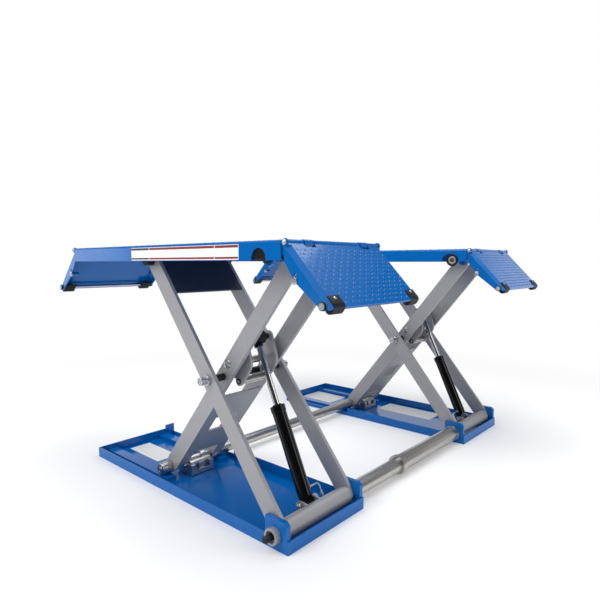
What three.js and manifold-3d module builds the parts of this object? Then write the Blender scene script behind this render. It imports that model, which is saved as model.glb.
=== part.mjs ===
// Mid-rise scissor car lift: two mirrored scissor units side by side, raised, with their ramps hanging.
// Millimetres. +X runs to the front ramps, +Y to the left unit, +Z up from the floor.
import * as THREE from "three";
import { mergeVertices } from "three/addons/utils/BufferGeometryUtils.js";
import Module from "manifold-3d";

const wasm = await Module();
wasm.setup();

// Whole machine
const platformHeight = 1012;
const unitCentre = 668;
const restGap = 0.3;
const pivotGap = 0.4;
const sideGap = 2;
const overrun = 3;

// Platform
const platformLength = 1385;
const platformWidth = 516;
const deckThickness = 6;
const skirtDepth = 63;
const skirtThickness = 5;
const skirtBend = 9;
const endFlangeDepth = 45;
const notchRadius = 33;
const notchSetback = 24;

// Base tray
const baseLength = 1262;
const baseInset = 46;
const baseSetback = 14;
const floorThickness = 5;
const flangeThickness = 5;
const flangeHeight = 45;
const lowFlangeHeight = 22;
const cornerPostHeight = 64;
const cornerPostLength = 9;
const cornerPostWidth = 50;

// Scissor linkage: the four end pivots stand in a rectangle at every height
const pivotHeight = 50;
const pivotDepth = 56;
const pivotSetback = 60;
const pivotRun = 737;

// Arms
const armWidth = 71;
const armThickness = 16;
const armEndRadius = 28;
const armTaperLength = 26;
const rollerSpace = 58;

// Lugs and the front pivot
const lugThickness = 18;
const lugLength = 100;
const lugHeight = 104;
const lugCorner = 12;
const pivotPinRadius = 12.5;
const pivotPinGrip = 44;
const pivotPinReach = 45;
const bushRadius = 29;
const bushLength = 21;
const bushFloor = 7;
const bushMouthRadius = 20;
const hubRadius = 33;

// Torsion bar between the units
const torsionRadius = 31;
const sleeveRadius = 35.5;
const sleeveCollarRadius = 42;
const sleeveCollarLength = 22;
const sleeveStart = -115;
const sleeveBoreDepth = 285;
const torsionEngagement = 265;
const sleeveRingRadius = 38.5;
const sleeveRingLength = 15;

// Rear axle and rollers
const axleRadius = 15;
const rearTubeRadius = 25;
const axleCapRadius = 20;
const axleCapLength = 6;
const rollerRadius = 27;
const baseRollerWidth = 40;
const platformRollerWidth = 28;
const platformAxleRadius = 12;
const platformAxleTail = 6;
const trackWidth = 46;
const trackStart = 48;

// Middle pivot
const midShaftRadius = 14;
const midCollarRadius = 20;
const midCollarLength = 10;
const midBoltRadius = 15;
const midBoltReach = 36;

// Upper fixed pivot
const topPinRadius = 10;
const topPinTail = 3;
const topPinCollarRadius = 17;
const topPinCollarLength = 11;
const hangerThickness = 12;
const hangerRadius = 26;
const hangerRootHalf = 44;
const outerHangerInset = 15;

// Cross plates
const upperPlateThickness = 10;
const upperPlateSpan = [24, 199];
const lowerPlateThickness = 8;
const lowerPlateSpan = [52, 500];
const lowerPlateFootSpan = [42, 124];
const lowerPlateFootHalf = 66;
const lowerPlateWindowSpan = [268, 356];
const lowerPlateWindowHalf = 62;

// Cylinder
const lowerEyeFromPivot = 44;
const lowerEyeDrop = 20;
const upperEyeFromMiddle = 150;
const upperEyeRise = 46;
const barrelRadius = 27;
const barrelLength = 360;
const barrelBase = 22;
const barrelFloor = 18;
const barrelBoreRadius = 20;
const glandLength = 25;
const glandGap = 0.5;
const glandRingRadius = 29;
const eyeRadius = 13;
const eyeHalfWidth = 26;
const eyeNeckHalf = 12;
const earInner = 30;
const earThickness = 10;
const earRadius = 14;
const earRootRadius = 31;
const lowerPinRadius = 7.5;
const lowerPinOverhang = 6;
const rodRadius = 12.5;
const rodLength = 310;
const pistonLength = 20;
const pistonGap = 0.3;
const rodEyeRadius = 26;
const rodEyeHalfWidth = 34;
const rodSocketRadius = 18;
const rodSocketLength = 40;
const rodSocketDepth = 20;
const rodPinRadius = 12;
const rodPinGap = 2;

// Rod bracket between the inner arms
const cheekInner = 62;
const cheekThickness = 12;
const cheekTubeRadius = 14;
const cheekEyeRadius = 22;
const cheekEyeHoleRadius = 8;
const highTubePlace = [56, 14];
const highTubeMargin = 22;
const lowTubePlace = [10, -44];
const lowTubeMargin = 18;
const cheekBulge = [84, -12, 47];

// Lock shoe on the rear axle
const shoeLength = [-24, 78];
const shoeHeight = [-42, -21];
const shoeHalfWidth = 60;
const shoeBossRadius = 24;
const shoeBossWidth = 22;
const pawlLength = [20, 72];
const pawlHeight = [-22, 4];
const pawlHalfWidth = 16;
const actuatorRadius = 14;
const actuatorPlace = [52, 2];
const actuatorHalfWidth = 54;

// Ramps
const rampDroop = THREE.MathUtils.degToRad(47);
const rampLength = 262;
const rampHeel = 9;
const rampInset = 6;
const rampThickness = 6;
const rampRise = 4;
const rampNoseRadius = 8;
const rampPinAhead = 12.5;
const rampPinDrop = 8;
const rampPinRadius = 6;
const rampPinHeadRadius = 9;
const rampPinHeadLength = 4;
const rampKnuckleRadius = 9;
const gussetThickness = 6;
const gussetHingeRadius = 12;
const gussetHip = [42, -43];
const gussetKink = [113, -53];
const gussetBossRadius = 14;
const gussetNotchSpan = [96, 102];
const gussetNotchTop = -29;
const stopRodPlace = [112, -50];
const stopRodRadius = 10;
const stopRodOverhang = 3;
const stopRodLength = 34;
const rampBevel = 14;
const rampBevelFill = 6;
const rampBevelStart = 14;
const rampRollerPlace = [237, -18];
const rampRollerRadius = 13;
const rampRollerWidth = 9;
const rampShaftRadius = 6;
const earSpacing = 300;
const rampEarRadius = 11;
const rampEarWidth = 42;
const rampEarRootLength = 40;
const rampEarRootDepth = 38;
const slotWidth = 54;
const slotReach = 22;

// Facets of round pieces, of slim ones, of holes in a plate and of an outline's rounded corners
const roundSegments = 16;
const slimSegments = 12;
const slimRadius = 10.5;
const holeSegments = 16;
const cornerSegments = 12;
const bendSteps = 6;

// Heights and places worked out from the sizes above
const lowerPivotZ = pivotHeight;
const upperPivotZ = platformHeight - pivotDepth;
const baseFront = platformLength / 2 - baseSetback;
const baseRear = baseFront - baseLength;
const frontPivotX = baseFront - pivotSetback;
const rearPivotX = frontPivotX - pivotRun;
const pivotRise = upperPivotZ - lowerPivotZ;
const halfArm = Math.hypot(pivotRun, pivotRise) / 2;
const armAngle = Math.atan2(pivotRise, pivotRun);
const middleX = (frontPivotX + rearPivotX) / 2;
const middleZ = (lowerPivotZ + upperPivotZ) / 2;

// Distances of each layer from its unit's middle plane
const skirtOuter = platformWidth / 2;
const skirtInner = skirtOuter - skirtThickness;
const rampEdge = skirtOuter - rampInset;
const flangeOuter = skirtOuter - baseInset;
const flangeInner = flangeOuter - flangeThickness;
const lugInner = flangeOuter - lugThickness;
const outerArmOuter = lugInner - sideGap;
const outerArmInner = outerArmOuter - armThickness;
const innerArmOuter = outerArmInner - rollerSpace;
const innerArmInner = innerArmOuter - armThickness;
const baseRollerInner = innerArmOuter + sideGap;
const baseRollerOuter = baseRollerInner + baseRollerWidth;
const platformRollerInner = outerArmOuter + sideGap;
const platformRollerOuter = platformRollerInner + platformRollerWidth;
const trackTop = lowerPivotZ - rollerRadius - restGap;
const platformTrackBottom = upperPivotZ + rollerRadius + restGap;
const deckBottom = platformHeight - deckThickness;

// Solids

function solidFrom(geometry) {
  const bare = geometry.index ? geometry.toNonIndexed() : geometry.clone();
  bare.deleteAttribute("normal");
  bare.deleteAttribute("uv");
  const merged = mergeVertices(bare);
  return new wasm.Manifold(
    new wasm.Mesh({
      numProp: 3,
      vertProperties: merged.attributes.position.array,
      triVerts: new Uint32Array(merged.index.array),
    }),
  );
}

function geometryFrom(solid) {
  const mesh = solid.getMesh();
  const geometry = new THREE.BufferGeometry();
  geometry.setAttribute("position", new THREE.BufferAttribute(mesh.vertProperties, mesh.numProp));
  geometry.setIndex(new THREE.BufferAttribute(mesh.triVerts, 1));
  geometry.computeVertexNormals();
  return geometry;
}

// One piece welded up from several, with holes cut through the result.
function welded(pieces, holes = []) {
  let solid = pieces.map(solidFrom).reduce((whole, next) => whole.add(next));
  for (const hole of holes) solid = solid.subtract(solidFrom(hole));
  return geometryFrom(solid);
}

function block([x0, x1], [y0, y1], [z0, z1]) {
  const geometry = new THREE.BoxGeometry(x1 - x0, y1 - y0, z1 - z0);
  return geometry.translate((x0 + x1) / 2, (y0 + y1) / 2, (z0 + z1) / 2);
}

// A round bar along Y.
function bar(radius, [y0, y1], x = 0, z = 0) {
  const segments = radius > slimRadius ? roundSegments : slimSegments;
  const geometry = new THREE.CylinderGeometry(radius, radius, y1 - y0, segments);
  return geometry.translate(x, (y0 + y1) / 2, z);
}

// A plate with an outline in X and Z, from y0 to y1.
function plate(outline, [y0, y1]) {
  const geometry = new THREE.ExtrudeGeometry(outline, {
    depth: y1 - y0,
    bevelEnabled: false,
    curveSegments: holeSegments / 2,
  });
  return geometry.rotateX(Math.PI / 2).translate(0, y1, 0);
}

// A length of bar with its outline in Y and Z, from x0 to x1.
function section(points, [x0, x1]) {
  const outline = new THREE.Shape(points.map(([y, z]) => new THREE.Vector2(y, z)));
  const geometry = new THREE.ExtrudeGeometry(outline, { depth: x1 - x0, bevelEnabled: false });
  return geometry.rotateX(Math.PI / 2).rotateZ(Math.PI / 2).translate(x0, 0, 0);
}

// A turned piece round Y: its profile is a list of [radius, y], outer side rising along Y.
function turned(profile) {
  return new THREE.LatheGeometry(
    profile.map(([radius, y]) => new THREE.Vector2(radius, y)),
    roundSegments,
  );
}

function ring(innerRadius, outerRadius, [y0, y1], x = 0, z = 0) {
  const profile = [
    [innerRadius, y0],
    [outerRadius, y0],
    [outerRadius, y1],
    [innerRadius, y1],
    [innerRadius, y0],
  ];
  return turned(profile).translate(x, 0, z);
}

// The taut outline round circles given as [x, z, radius]; a radius of zero is a sharp corner.
function tautOutline(circles) {
  const points = circles.flatMap(([x, z, radius]) => {
    if (radius === 0) return [[x, z]];
    return Array.from({ length: cornerSegments }, (_, i) => {
      const angle = (i / cornerSegments) * 2 * Math.PI;
      return [x + radius * Math.cos(angle), z + radius * Math.sin(angle)];
    });
  });
  points.sort((a, b) => a[0] - b[0] || a[1] - b[1]);
  const turn = (o, a, b) => (a[0] - o[0]) * (b[1] - o[1]) - (a[1] - o[1]) * (b[0] - o[0]);
  const chain = (ordered) => {
    const kept = [];
    for (const point of ordered) {
      while (kept.length > 1 && turn(kept.at(-2), kept.at(-1), point) <= 0) kept.pop();
      kept.push(point);
    }
    return kept.slice(0, -1);
  };
  const hull = [...chain(points), ...chain([...points].reverse())];
  return new THREE.Shape(hull.map(([x, z]) => new THREE.Vector2(x, z)));
}

function withHoles(outline, holes) {
  for (const [x, z, radius] of holes) {
    outline.holes.push(new THREE.Path().absarc(x, z, radius, 0, 2 * Math.PI, true));
  }
  return outline;
}

// The stretch of Y between two distances from a unit's middle, on its outboard or inboard side.
function layer(side, direction, near, far) {
  const ends = [near, far].map((distance) => side * unitCentre + direction * distance);
  return [Math.min(...ends), Math.max(...ends)];
}

function across(side, half) {
  return [side * unitCentre - half, side * unitCentre + half];
}

// A stretch of X that runs outwards at the front end, 1, or the rear end, -1.
function outwards(end, places) {
  return places.map((place) => end * place).sort((a, b) => a - b);
}

// Finishes

const finishes = {
  bluePaint: new THREE.MeshStandardMaterial({ color: 0x0866b8, roughness: 0.3, metalness: 0 }),
  armPaint: new THREE.MeshStandardMaterial({ color: 0xa9a9ac, roughness: 0.45, metalness: 0.4 }),
  darkSteel: new THREE.MeshStandardMaterial({ color: 0x3c4458, roughness: 0.5, metalness: 0.3 }),
  brightSteel: new THREE.MeshStandardMaterial({ color: 0xc9c7c2, roughness: 0.3, metalness: 0.9 }),
  blackPaint: new THREE.MeshStandardMaterial({ color: 0x17181a, roughness: 0.35, metalness: 0 }),
  chrome: new THREE.MeshStandardMaterial({ color: 0xd8d8da, roughness: 0.08, metalness: 1 }),
};

function named(name, geometry, finish) {
  const mesh = new THREE.Mesh(geometry, finishes[finish].clone());
  mesh.name = name;
  return mesh;
}

// Base tray with its lugs, roller tracks and rear corner post

function lugOutline() {
  const rear = baseFront - flangeThickness - restGap - lugLength;
  const front = rear + lugLength;
  return tautOutline([
    [rear, 0, 0],
    [front, 0, 0],
    [rear, lugHeight, 0],
    [front - lugCorner, lugHeight, 0],
    [front, lugHeight - lugCorner, 0],
  ]);
}

function baseTray(side) {
  const lengthwise = [baseRear, baseFront];
  const lugRear = baseFront - flangeThickness - restGap - lugLength;
  const lowEnd = rearPivotX + trackStart;
  const pieces = [
    block(lengthwise, across(side, flangeOuter), [0, floorThickness]),
    block([baseFront - flangeThickness, baseFront], across(side, flangeOuter), [0, flangeHeight]),
    block([baseRear, baseRear + flangeThickness], across(side, flangeOuter), [0, flangeHeight]),
    block([baseRear, lugRear + overrun], layer(side, side, flangeInner, flangeOuter), [0, flangeHeight]),
    block([baseRear, lowEnd], layer(side, -side, flangeInner, flangeOuter), [0, lowFlangeHeight]),
    block([lowEnd, lugRear + overrun], layer(side, -side, flangeInner, flangeOuter), [0, flangeHeight]),
    block(
      [baseRear, baseRear + cornerPostLength],
      layer(side, -side, flangeOuter - cornerPostWidth, flangeOuter),
      [0, cornerPostHeight],
    ),
  ];
  for (const direction of [side, -side]) {
    pieces.push(plate(lugOutline(), layer(side, direction, lugInner, flangeOuter)));
    pieces.push(
      block(
        [baseRear + flangeThickness - overrun, rearPivotX + trackStart],
        layer(side, direction, baseRollerInner, baseRollerInner + trackWidth),
        [0, trackTop],
      ),
    );
  }
  const pinHole = bar(
    pivotPinRadius + pivotGap,
    across(side, flangeOuter + overrun),
    frontPivotX,
    lowerPivotZ,
  );
  return welded(pieces, [pinHole]);
}

// Arms, in a frame at the middle pivot with X along the arm

function scissorArm(span, holes) {
  const shoulder = halfArm - armTaperLength;
  const outline = tautOutline([
    [-halfArm, 0, armEndRadius],
    [halfArm, 0, armEndRadius],
    [-shoulder, armWidth / 2, 0],
    [-shoulder, -armWidth / 2, 0],
    [shoulder, armWidth / 2, 0],
    [shoulder, -armWidth / 2, 0],
  ]);
  return plate(withHoles(outline, holes), span);
}

function outerArm(side, direction) {
  return scissorArm(layer(side, direction, outerArmInner, outerArmOuter), [
    [halfArm, 0, pivotPinRadius + pivotGap],
    [0, 0, midShaftRadius + pivotGap],
    [-halfArm, 0, platformAxleRadius + pivotGap],
  ]);
}

function innerArm(side, direction) {
  return scissorArm(layer(side, direction, innerArmInner, innerArmOuter), [
    [-halfArm, 0, axleRadius + pivotGap],
    [0, 0, midShaftRadius + pivotGap],
    [halfArm, 0, topPinRadius + pivotGap],
  ]);
}

// Outer frame

const lowerEye = [halfArm - lowerEyeFromPivot, -lowerEyeDrop];

function hubTube(side) {
  const [eyeX, eyeZ] = lowerEye;
  const earOutline = () =>
    tautOutline([
      [halfArm, 0, earRootRadius],
      [eyeX, eyeZ, earRadius],
    ]);
  const pieces = [bar(hubRadius, across(side, outerArmInner - restGap), halfArm)];
  for (const direction of [1, -1]) {
    pieces.push(plate(earOutline(), layer(side, direction, earInner, earInner + earThickness)));
  }
  return welded(pieces, [
    bar(pivotPinRadius + pivotGap, across(side, outerArmInner + overrun), halfArm),
    bar(lowerPinRadius + pivotGap, across(side, earInner + earThickness + overrun), eyeX, eyeZ),
  ]);
}

function lowerCylinderPin(side) {
  const [eyeX, eyeZ] = lowerEye;
  return bar(lowerPinRadius, across(side, earInner + earThickness + lowerPinOverhang), eyeX, eyeZ);
}

function pivotPin(side) {
  const start = outerArmInner - pivotPinGrip;
  return bar(pivotPinRadius, layer(side, side, start, flangeOuter + pivotPinReach), halfArm);
}

function pivotBush(side) {
  const start = flangeOuter + restGap;
  const end = start + bushLength;
  const bore = pivotPinRadius + pivotGap;
  const mouth = bar(bushMouthRadius, layer(side, side, start + bushFloor, end + overrun), halfArm);
  return welded([ring(bore, bushRadius, layer(side, side, start, end), halfArm)], [mouth]);
}

function midShaft(side) {
  const centre = side * unitCentre;
  const steps = [
    [midShaftRadius, 0],
    [midShaftRadius, outerArmOuter + restGap],
    [midCollarRadius, outerArmOuter + restGap],
    [midCollarRadius, outerArmOuter + restGap + midCollarLength],
    [midBoltRadius, outerArmOuter + restGap + midCollarLength],
    [midBoltRadius, outerArmOuter + midBoltReach],
    [0, outerArmOuter + midBoltReach],
  ];
  const low = steps.slice(1).reverse().map(([radius, y]) => [radius, centre - y]);
  const high = steps.slice(1).map(([radius, y]) => [radius, centre + y]);
  return turned([...low, ...high]);
}

function upperCrossPlate(side) {
  return block(
    upperPlateSpan.map((distance) => distance - halfArm),
    across(side, outerArmInner - restGap),
    [armWidth / 2 - upperPlateThickness, armWidth / 2],
  );
}

function platformRoller(side, direction) {
  const centre = side * unitCentre;
  const steps = [
    [0, outerArmInner - platformAxleTail],
    [platformAxleRadius, outerArmInner - platformAxleTail],
    [platformAxleRadius, platformRollerInner],
    [rollerRadius, platformRollerInner],
    [rollerRadius, platformRollerOuter],
    [0, platformRollerOuter],
  ];
  const profile = steps.map(([radius, y]) => [radius, centre + direction * y]);
  if (direction < 0) profile.reverse();
  return turned(profile).translate(-halfArm, 0, 0);
}

// Torsion bar on the line of the front pivots: the right unit's tube slides in the left unit's sleeve

const torsionEnd = unitCentre - flangeOuter - restGap;
const journalEnd = unitCentre - outerArmInner + pivotPinGrip;

function torsionTube() {
  const tip = sleeveStart + torsionEngagement;
  const profile = [
    [0, -journalEnd],
    [pivotPinRadius, -journalEnd],
    [pivotPinRadius, -torsionEnd],
    [torsionRadius, -torsionEnd],
    [torsionRadius, tip],
    [0, tip],
  ];
  return turned(profile).translate(halfArm, 0, 0);
}

function torsionSleeve() {
  const boreRadius = torsionRadius + restGap;
  const collarEnd = sleeveStart + sleeveCollarLength;
  const profile = [
    [0, sleeveStart + sleeveBoreDepth],
    [boreRadius, sleeveStart + sleeveBoreDepth],
    [boreRadius, sleeveStart],
    [sleeveCollarRadius, sleeveStart],
    [sleeveCollarRadius, collarEnd],
    [sleeveRadius, collarEnd],
    [sleeveRadius, torsionEnd - sleeveRingLength],
    [sleeveRingRadius, torsionEnd - sleeveRingLength],
    [sleeveRingRadius, torsionEnd],
    [pivotPinRadius, torsionEnd],
    [pivotPinRadius, journalEnd],
    [0, journalEnd],
  ];
  return turned(profile).translate(halfArm, 0, 0);
}

// Inner frame

function rearAxle() {
  const shoulder = unitCentre - baseRollerOuter - restGap;
  const rollerEnd = unitCentre + baseRollerOuter + restGap;
  const steps = [
    [rearTubeRadius, shoulder],
    [axleRadius, shoulder],
    [axleRadius, rollerEnd],
    [axleCapRadius, rollerEnd],
    [axleCapRadius, rollerEnd + axleCapLength],
    [0, rollerEnd + axleCapLength],
  ];
  const low = [...steps].reverse().map(([radius, y]) => [radius, -y]);
  return turned([...low, ...steps]).translate(-halfArm, 0, 0);
}

function baseRoller(side, direction) {
  const span = layer(side, direction, baseRollerInner, baseRollerOuter);
  return ring(axleRadius + pivotGap, rollerRadius, span, -halfArm);
}

function lowerCrossPlate(side) {
  const depth = [-armWidth / 2, lowerPlateThickness - armWidth / 2];
  const body = block(
    lowerPlateSpan.map((distance) => distance - halfArm),
    across(side, innerArmInner - restGap),
    depth,
  );
  const holes = [
    [lowerPlateFootSpan, lowerPlateFootHalf],
    [lowerPlateWindowSpan, lowerPlateWindowHalf],
  ].map(([span, half]) =>
    block(
      span.map((distance) => distance - halfArm),
      across(side, half),
      [depth[0] - overrun, depth[1] + overrun],
    ),
  );
  return welded([body], holes);
}

const upperEye = [upperEyeFromMiddle, upperEyeRise];

function rodBracket(side) {
  const [eyeX, eyeZ] = upperEye;
  const cheekOutline = () =>
    withHoles(
      tautOutline([
        [...highTubePlace, highTubeMargin],
        [...lowTubePlace, lowTubeMargin],
        cheekBulge,
        [eyeX, eyeZ, cheekEyeRadius],
      ]),
      [[eyeX, eyeZ, cheekEyeHoleRadius]],
    );
  const pieces = [
    bar(cheekTubeRadius, across(side, innerArmInner - restGap), ...highTubePlace),
    bar(cheekTubeRadius, across(side, cheekInner + cheekThickness), ...lowTubePlace),
  ];
  for (const direction of [1, -1]) {
    pieces.push(plate(cheekOutline(), layer(side, direction, cheekInner, cheekInner + cheekThickness)));
  }
  return welded(pieces);
}

function lockShoe(side) {
  const carrierLength = [actuatorPlace[0] - actuatorRadius, shoeLength[1]];
  const carrierHeight = [shoeHeight[0], actuatorPlace[1]];
  const pieces = [
    block(shoeLength, across(side, shoeHalfWidth), shoeHeight),
    block(pawlLength, across(side, pawlHalfWidth), pawlHeight),
    bar(actuatorRadius, across(side, actuatorHalfWidth), ...actuatorPlace),
  ];
  for (const direction of [1, -1]) {
    const boss = layer(side, direction, shoeHalfWidth - shoeBossWidth, shoeHalfWidth);
    pieces.push(bar(shoeBossRadius, boss));
    pieces.push(block(carrierLength, boss, carrierHeight));
  }
  return welded(pieces, [bar(axleRadius + pivotGap, across(side, shoeHalfWidth + overrun))]);
}

// Cylinder, in a frame at its lower eye with X along the rod

const outerDirection = [Math.cos(armAngle), -Math.sin(armAngle)];
const outerNormal = [Math.sin(armAngle), Math.cos(armAngle)];
const innerDirection = [Math.cos(armAngle), Math.sin(armAngle)];
const innerNormal = [-Math.sin(armAngle), Math.cos(armAngle)];

function placeOn([along, aside], direction, normal) {
  return [
    middleX + along * direction[0] + aside * normal[0],
    middleZ + along * direction[1] + aside * normal[1],
  ];
}

const lowerEyePlace = placeOn(lowerEye, outerDirection, outerNormal);
const upperEyePlace = placeOn(upperEye, innerDirection, innerNormal);
const eyeRun = upperEyePlace[0] - lowerEyePlace[0];
const eyeRise = upperEyePlace[1] - lowerEyePlace[1];
const eyeDistance = Math.hypot(eyeRun, eyeRise);
const cylinderAngle = Math.atan2(eyeRise, eyeRun);

// A turned piece along the rod: its profile is a list of [radius, distance from the lower eye].
function turnedAlongRod(profile, side) {
  return turned(profile)
    .rotateZ(-Math.PI / 2)
    .translate(0, side * unitCentre, 0);
}

function barrel(side) {
  const glandInner = barrelLength - glandLength;
  const boreStart = barrelBase + barrelFloor;
  const glandBore = rodRadius + glandGap;
  const tube = turnedAlongRod(
    [
      [0, barrelBase],
      [barrelRadius, barrelBase],
      [barrelRadius, glandInner],
      [glandRingRadius, glandInner],
      [glandRingRadius, barrelLength],
      [glandBore, barrelLength],
      [glandBore, glandInner],
      [barrelBoreRadius, glandInner],
      [barrelBoreRadius, boreStart],
      [0, boreStart],
    ],
    side,
  );
  const pieces = [
    tube,
    bar(eyeRadius, across(side, eyeHalfWidth)),
    block([0, barrelBase + overrun], across(side, eyeHalfWidth - overrun), [-eyeNeckHalf, eyeNeckHalf]),
  ];
  return welded(pieces, [bar(lowerPinRadius + pivotGap, across(side, eyeHalfWidth + overrun))]);
}

function pistonRod(side) {
  const end = eyeDistance - rodSocketDepth - restGap;
  const start = end - rodLength;
  const pistonRadius = barrelBoreRadius - pistonGap;
  return turnedAlongRod(
    [
      [0, start],
      [pistonRadius, start],
      [pistonRadius, start + pistonLength],
      [rodRadius, start + pistonLength],
      [rodRadius, end],
      [0, end],
    ],
    side,
  );
}

function rodEye(side) {
  const socketStart = eyeDistance - rodSocketLength;
  const socketBottom = eyeDistance - rodSocketDepth;
  const socket = turnedAlongRod(
    [
      [0, socketStart],
      [rodSocketRadius, socketStart],
      [rodSocketRadius, eyeDistance],
      [0, eyeDistance],
    ],
    side,
  );
  const bore = turnedAlongRod(
    [
      [0, socketStart - overrun],
      [rodRadius + restGap, socketStart - overrun],
      [rodRadius + restGap, socketBottom],
      [0, socketBottom],
    ],
    side,
  );
  const pieces = [
    socket,
    bar(rodEyeRadius, across(side, rodEyeHalfWidth), eyeDistance),
    bar(rodPinRadius, across(side, cheekInner - rodPinGap), eyeDistance),
  ];
  return welded(pieces, [bore]);
}

// Platform with its skirts, roller tracks, pin hangers and ramp ears

function earLayer(side, direction, width) {
  return layer(side, direction, (earSpacing - width) / 2, (earSpacing + width) / 2);
}

const rampPinX = platformLength / 2 + rampPinAhead;
const rampPinZ = platformHeight - rampPinDrop;

function skirtOutline() {
  const half = platformLength / 2;
  const bottom = platformHeight - skirtDepth;
  return tautOutline([
    [-half, bottom, 0],
    [half, bottom, 0],
    [half, deckBottom + overrun, 0],
    [-half, deckBottom + overrun, 0],
  ]);
}

function rampEarOutline(end) {
  const root = end * (platformLength / 2 - rampEarRootLength);
  const face = (end * platformLength) / 2;
  return tautOutline([
    [root, platformHeight - rampEarRootDepth, 0],
    [face, platformHeight - rampEarRootDepth, 0],
    [root, deckBottom + overrun, 0],
    [end * rampPinX, rampPinZ, rampEarRadius],
  ]);
}

// Points of Y and Z at a long edge, each given as distances in from its side and down from its top.
function atEdge(side, direction, [halfWidth, top], points) {
  const edge = side * unitCentre + direction * halfWidth;
  return points.map(([inward, down]) => [edge - direction * inward, top - down]);
}

// What is cut away to round the bend between a platform's deck and its skirt.
function bendWaste(side, direction) {
  const arc = Array.from({ length: bendSteps + 1 }, (_, i) => {
    const angle = ((i / bendSteps) * Math.PI) / 2;
    return [skirtBend * (1 - Math.sin(angle)), skirtBend * (1 - Math.cos(angle))];
  });
  const corners = [[-overrun, skirtBend], [-overrun, -overrun], [skirtBend, -overrun], ...arc];
  const reach = platformLength / 2 + overrun;
  return section(atEdge(side, direction, [skirtOuter, platformHeight], corners), [-reach, reach]);
}

function platform(side) {
  const half = platformLength / 2;
  const ends = [-1, 1];
  const pieces = [block([-half, half], across(side, skirtOuter), [deckBottom, platformHeight])];
  const holes = [];
  const flangeDepth = [platformHeight - endFlangeDepth, deckBottom + overrun];
  for (const end of ends) {
    const flange = outwards(end, [half - skirtThickness, half]);
    pieces.push(block(flange, across(side, skirtOuter), flangeDepth));
    holes.push(
      bar(rampPinRadius + pivotGap, across(side, skirtOuter + overrun), end * rampPinX, rampPinZ),
    );
  }
  for (const direction of [1, -1]) {
    const skirt = layer(side, direction, skirtInner, skirtOuter);
    pieces.push(plate(skirtOutline(), skirt));
    for (const end of ends) {
      pieces.push(plate(rampEarOutline(end), earLayer(side, direction, rampEarWidth)));
    }
    holes.push(
      bar(
        notchRadius,
        layer(side, direction, skirtInner - overrun, skirtOuter + overrun),
        frontPivotX - notchSetback,
        upperPivotZ,
      ),
    );
    pieces.push(
      block(
        [baseRear, rearPivotX + trackStart],
        layer(side, direction, outerArmOuter + sideGap / 2, platformRollerOuter + sideGap),
        [platformTrackBottom, deckBottom + overrun],
      ),
    );
    const hangerStarts = [innerArmOuter + 2 * sideGap, skirtInner - outerHangerInset - hangerThickness];
    for (const start of hangerStarts) {
      const outline = tautOutline([
        [frontPivotX, upperPivotZ, hangerRadius],
        [frontPivotX - hangerRootHalf, deckBottom + overrun, 0],
        [frontPivotX + hangerRootHalf, deckBottom + overrun, 0],
      ]);
      pieces.push(plate(outline, layer(side, direction, start, start + hangerThickness)));
    }
  }
  holes.push(
    bar(topPinRadius + pivotGap, across(side, skirtInner - overrun), frontPivotX, upperPivotZ),
    ...[1, -1].map((direction) => bendWaste(side, direction)),
  );
  return welded(pieces, holes);
}

function topPin(side, direction) {
  const centre = side * unitCentre;
  const collarStart = skirtInner - outerHangerInset + restGap;
  const steps = [
    [0, innerArmInner - topPinTail],
    [topPinRadius, innerArmInner - topPinTail],
    [topPinRadius, collarStart],
    [topPinCollarRadius, collarStart],
    [topPinCollarRadius, collarStart + topPinCollarLength],
    [0, collarStart + topPinCollarLength],
  ];
  const profile = steps.map(([radius, y]) => [radius, centre + direction * y]);
  if (direction < 0) profile.reverse();
  return turned(profile).translate(frontPivotX, 0, upperPivotZ);
}

// Ramp, in a frame at its hinge pin; X runs outwards along the deck, times end

function rampDeck(side, end) {
  const pieces = [
    block(
      outwards(end, [-rampHeel, rampLength]),
      across(side, rampEdge),
      [rampRise - rampThickness, rampRise],
    ),
    bar(rampKnuckleRadius, across(side, rampEdge)),
    bar(
      rampNoseRadius,
      across(side, rampEdge),
      end * (rampLength - rampNoseRadius),
      rampRise - rampNoseRadius,
    ),
  ];
  const slots = [1, -1].map((direction) =>
    block(
      outwards(end, [-slotReach, slotReach]),
      earLayer(side, direction, slotWidth),
      [-slotReach, slotReach],
    ),
  );
  return welded(pieces, slots);
}

function gussetOutline(end) {
  const [hipX, hipZ] = gussetHip;
  const [kinkX, kinkZ] = gussetKink;
  const [rollerX, rollerZ] = rampRollerPlace;
  return tautOutline([
    [0, 0, gussetHingeRadius],
    [end * hipX, hipZ, 0],
    [end * kinkX, kinkZ, 0],
    [end * rollerX, rollerZ, gussetBossRadius],
    [end * (rampLength - rampNoseRadius), rampRise, 0],
    [0, rampRise, 0],
  ]);
}

// A gusset cut level with the deck, with a round boss at the hinge.
function gusset(end, [y0, y1]) {
  const ridge = block(
    outwards(end, [0, rampLength]),
    [y0 - overrun, y1 + overrun],
    [rampRise, rampRise + gussetHingeRadius],
  );
  const level = welded([plate(gussetOutline(end), [y0, y1])], [ridge]);
  return welded([level, bar(gussetHingeRadius, [y0, y1])]);
}

function bevelBacking(side, direction, end) {
  const reach = rampBevel + rampBevelFill;
  const seat = rampThickness / 2;
  const corners = [
    [seat, seat],
    [reach, seat],
    [seat, reach],
  ];
  const span = outwards(end, [rampBevelStart, rampLength - rampNoseRadius]);
  return section(atEdge(side, direction, [rampEdge, rampRise], corners), span);
}

function bevelCut(side, direction, end) {
  const corners = [
    [-overrun, -overrun],
    [rampBevel + overrun, -overrun],
    [-overrun, rampBevel + overrun],
  ];
  const span = outwards(end, [rampBevelStart, rampLength + overrun]);
  return section(atEdge(side, direction, [rampEdge, rampRise], corners), span);
}

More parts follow.
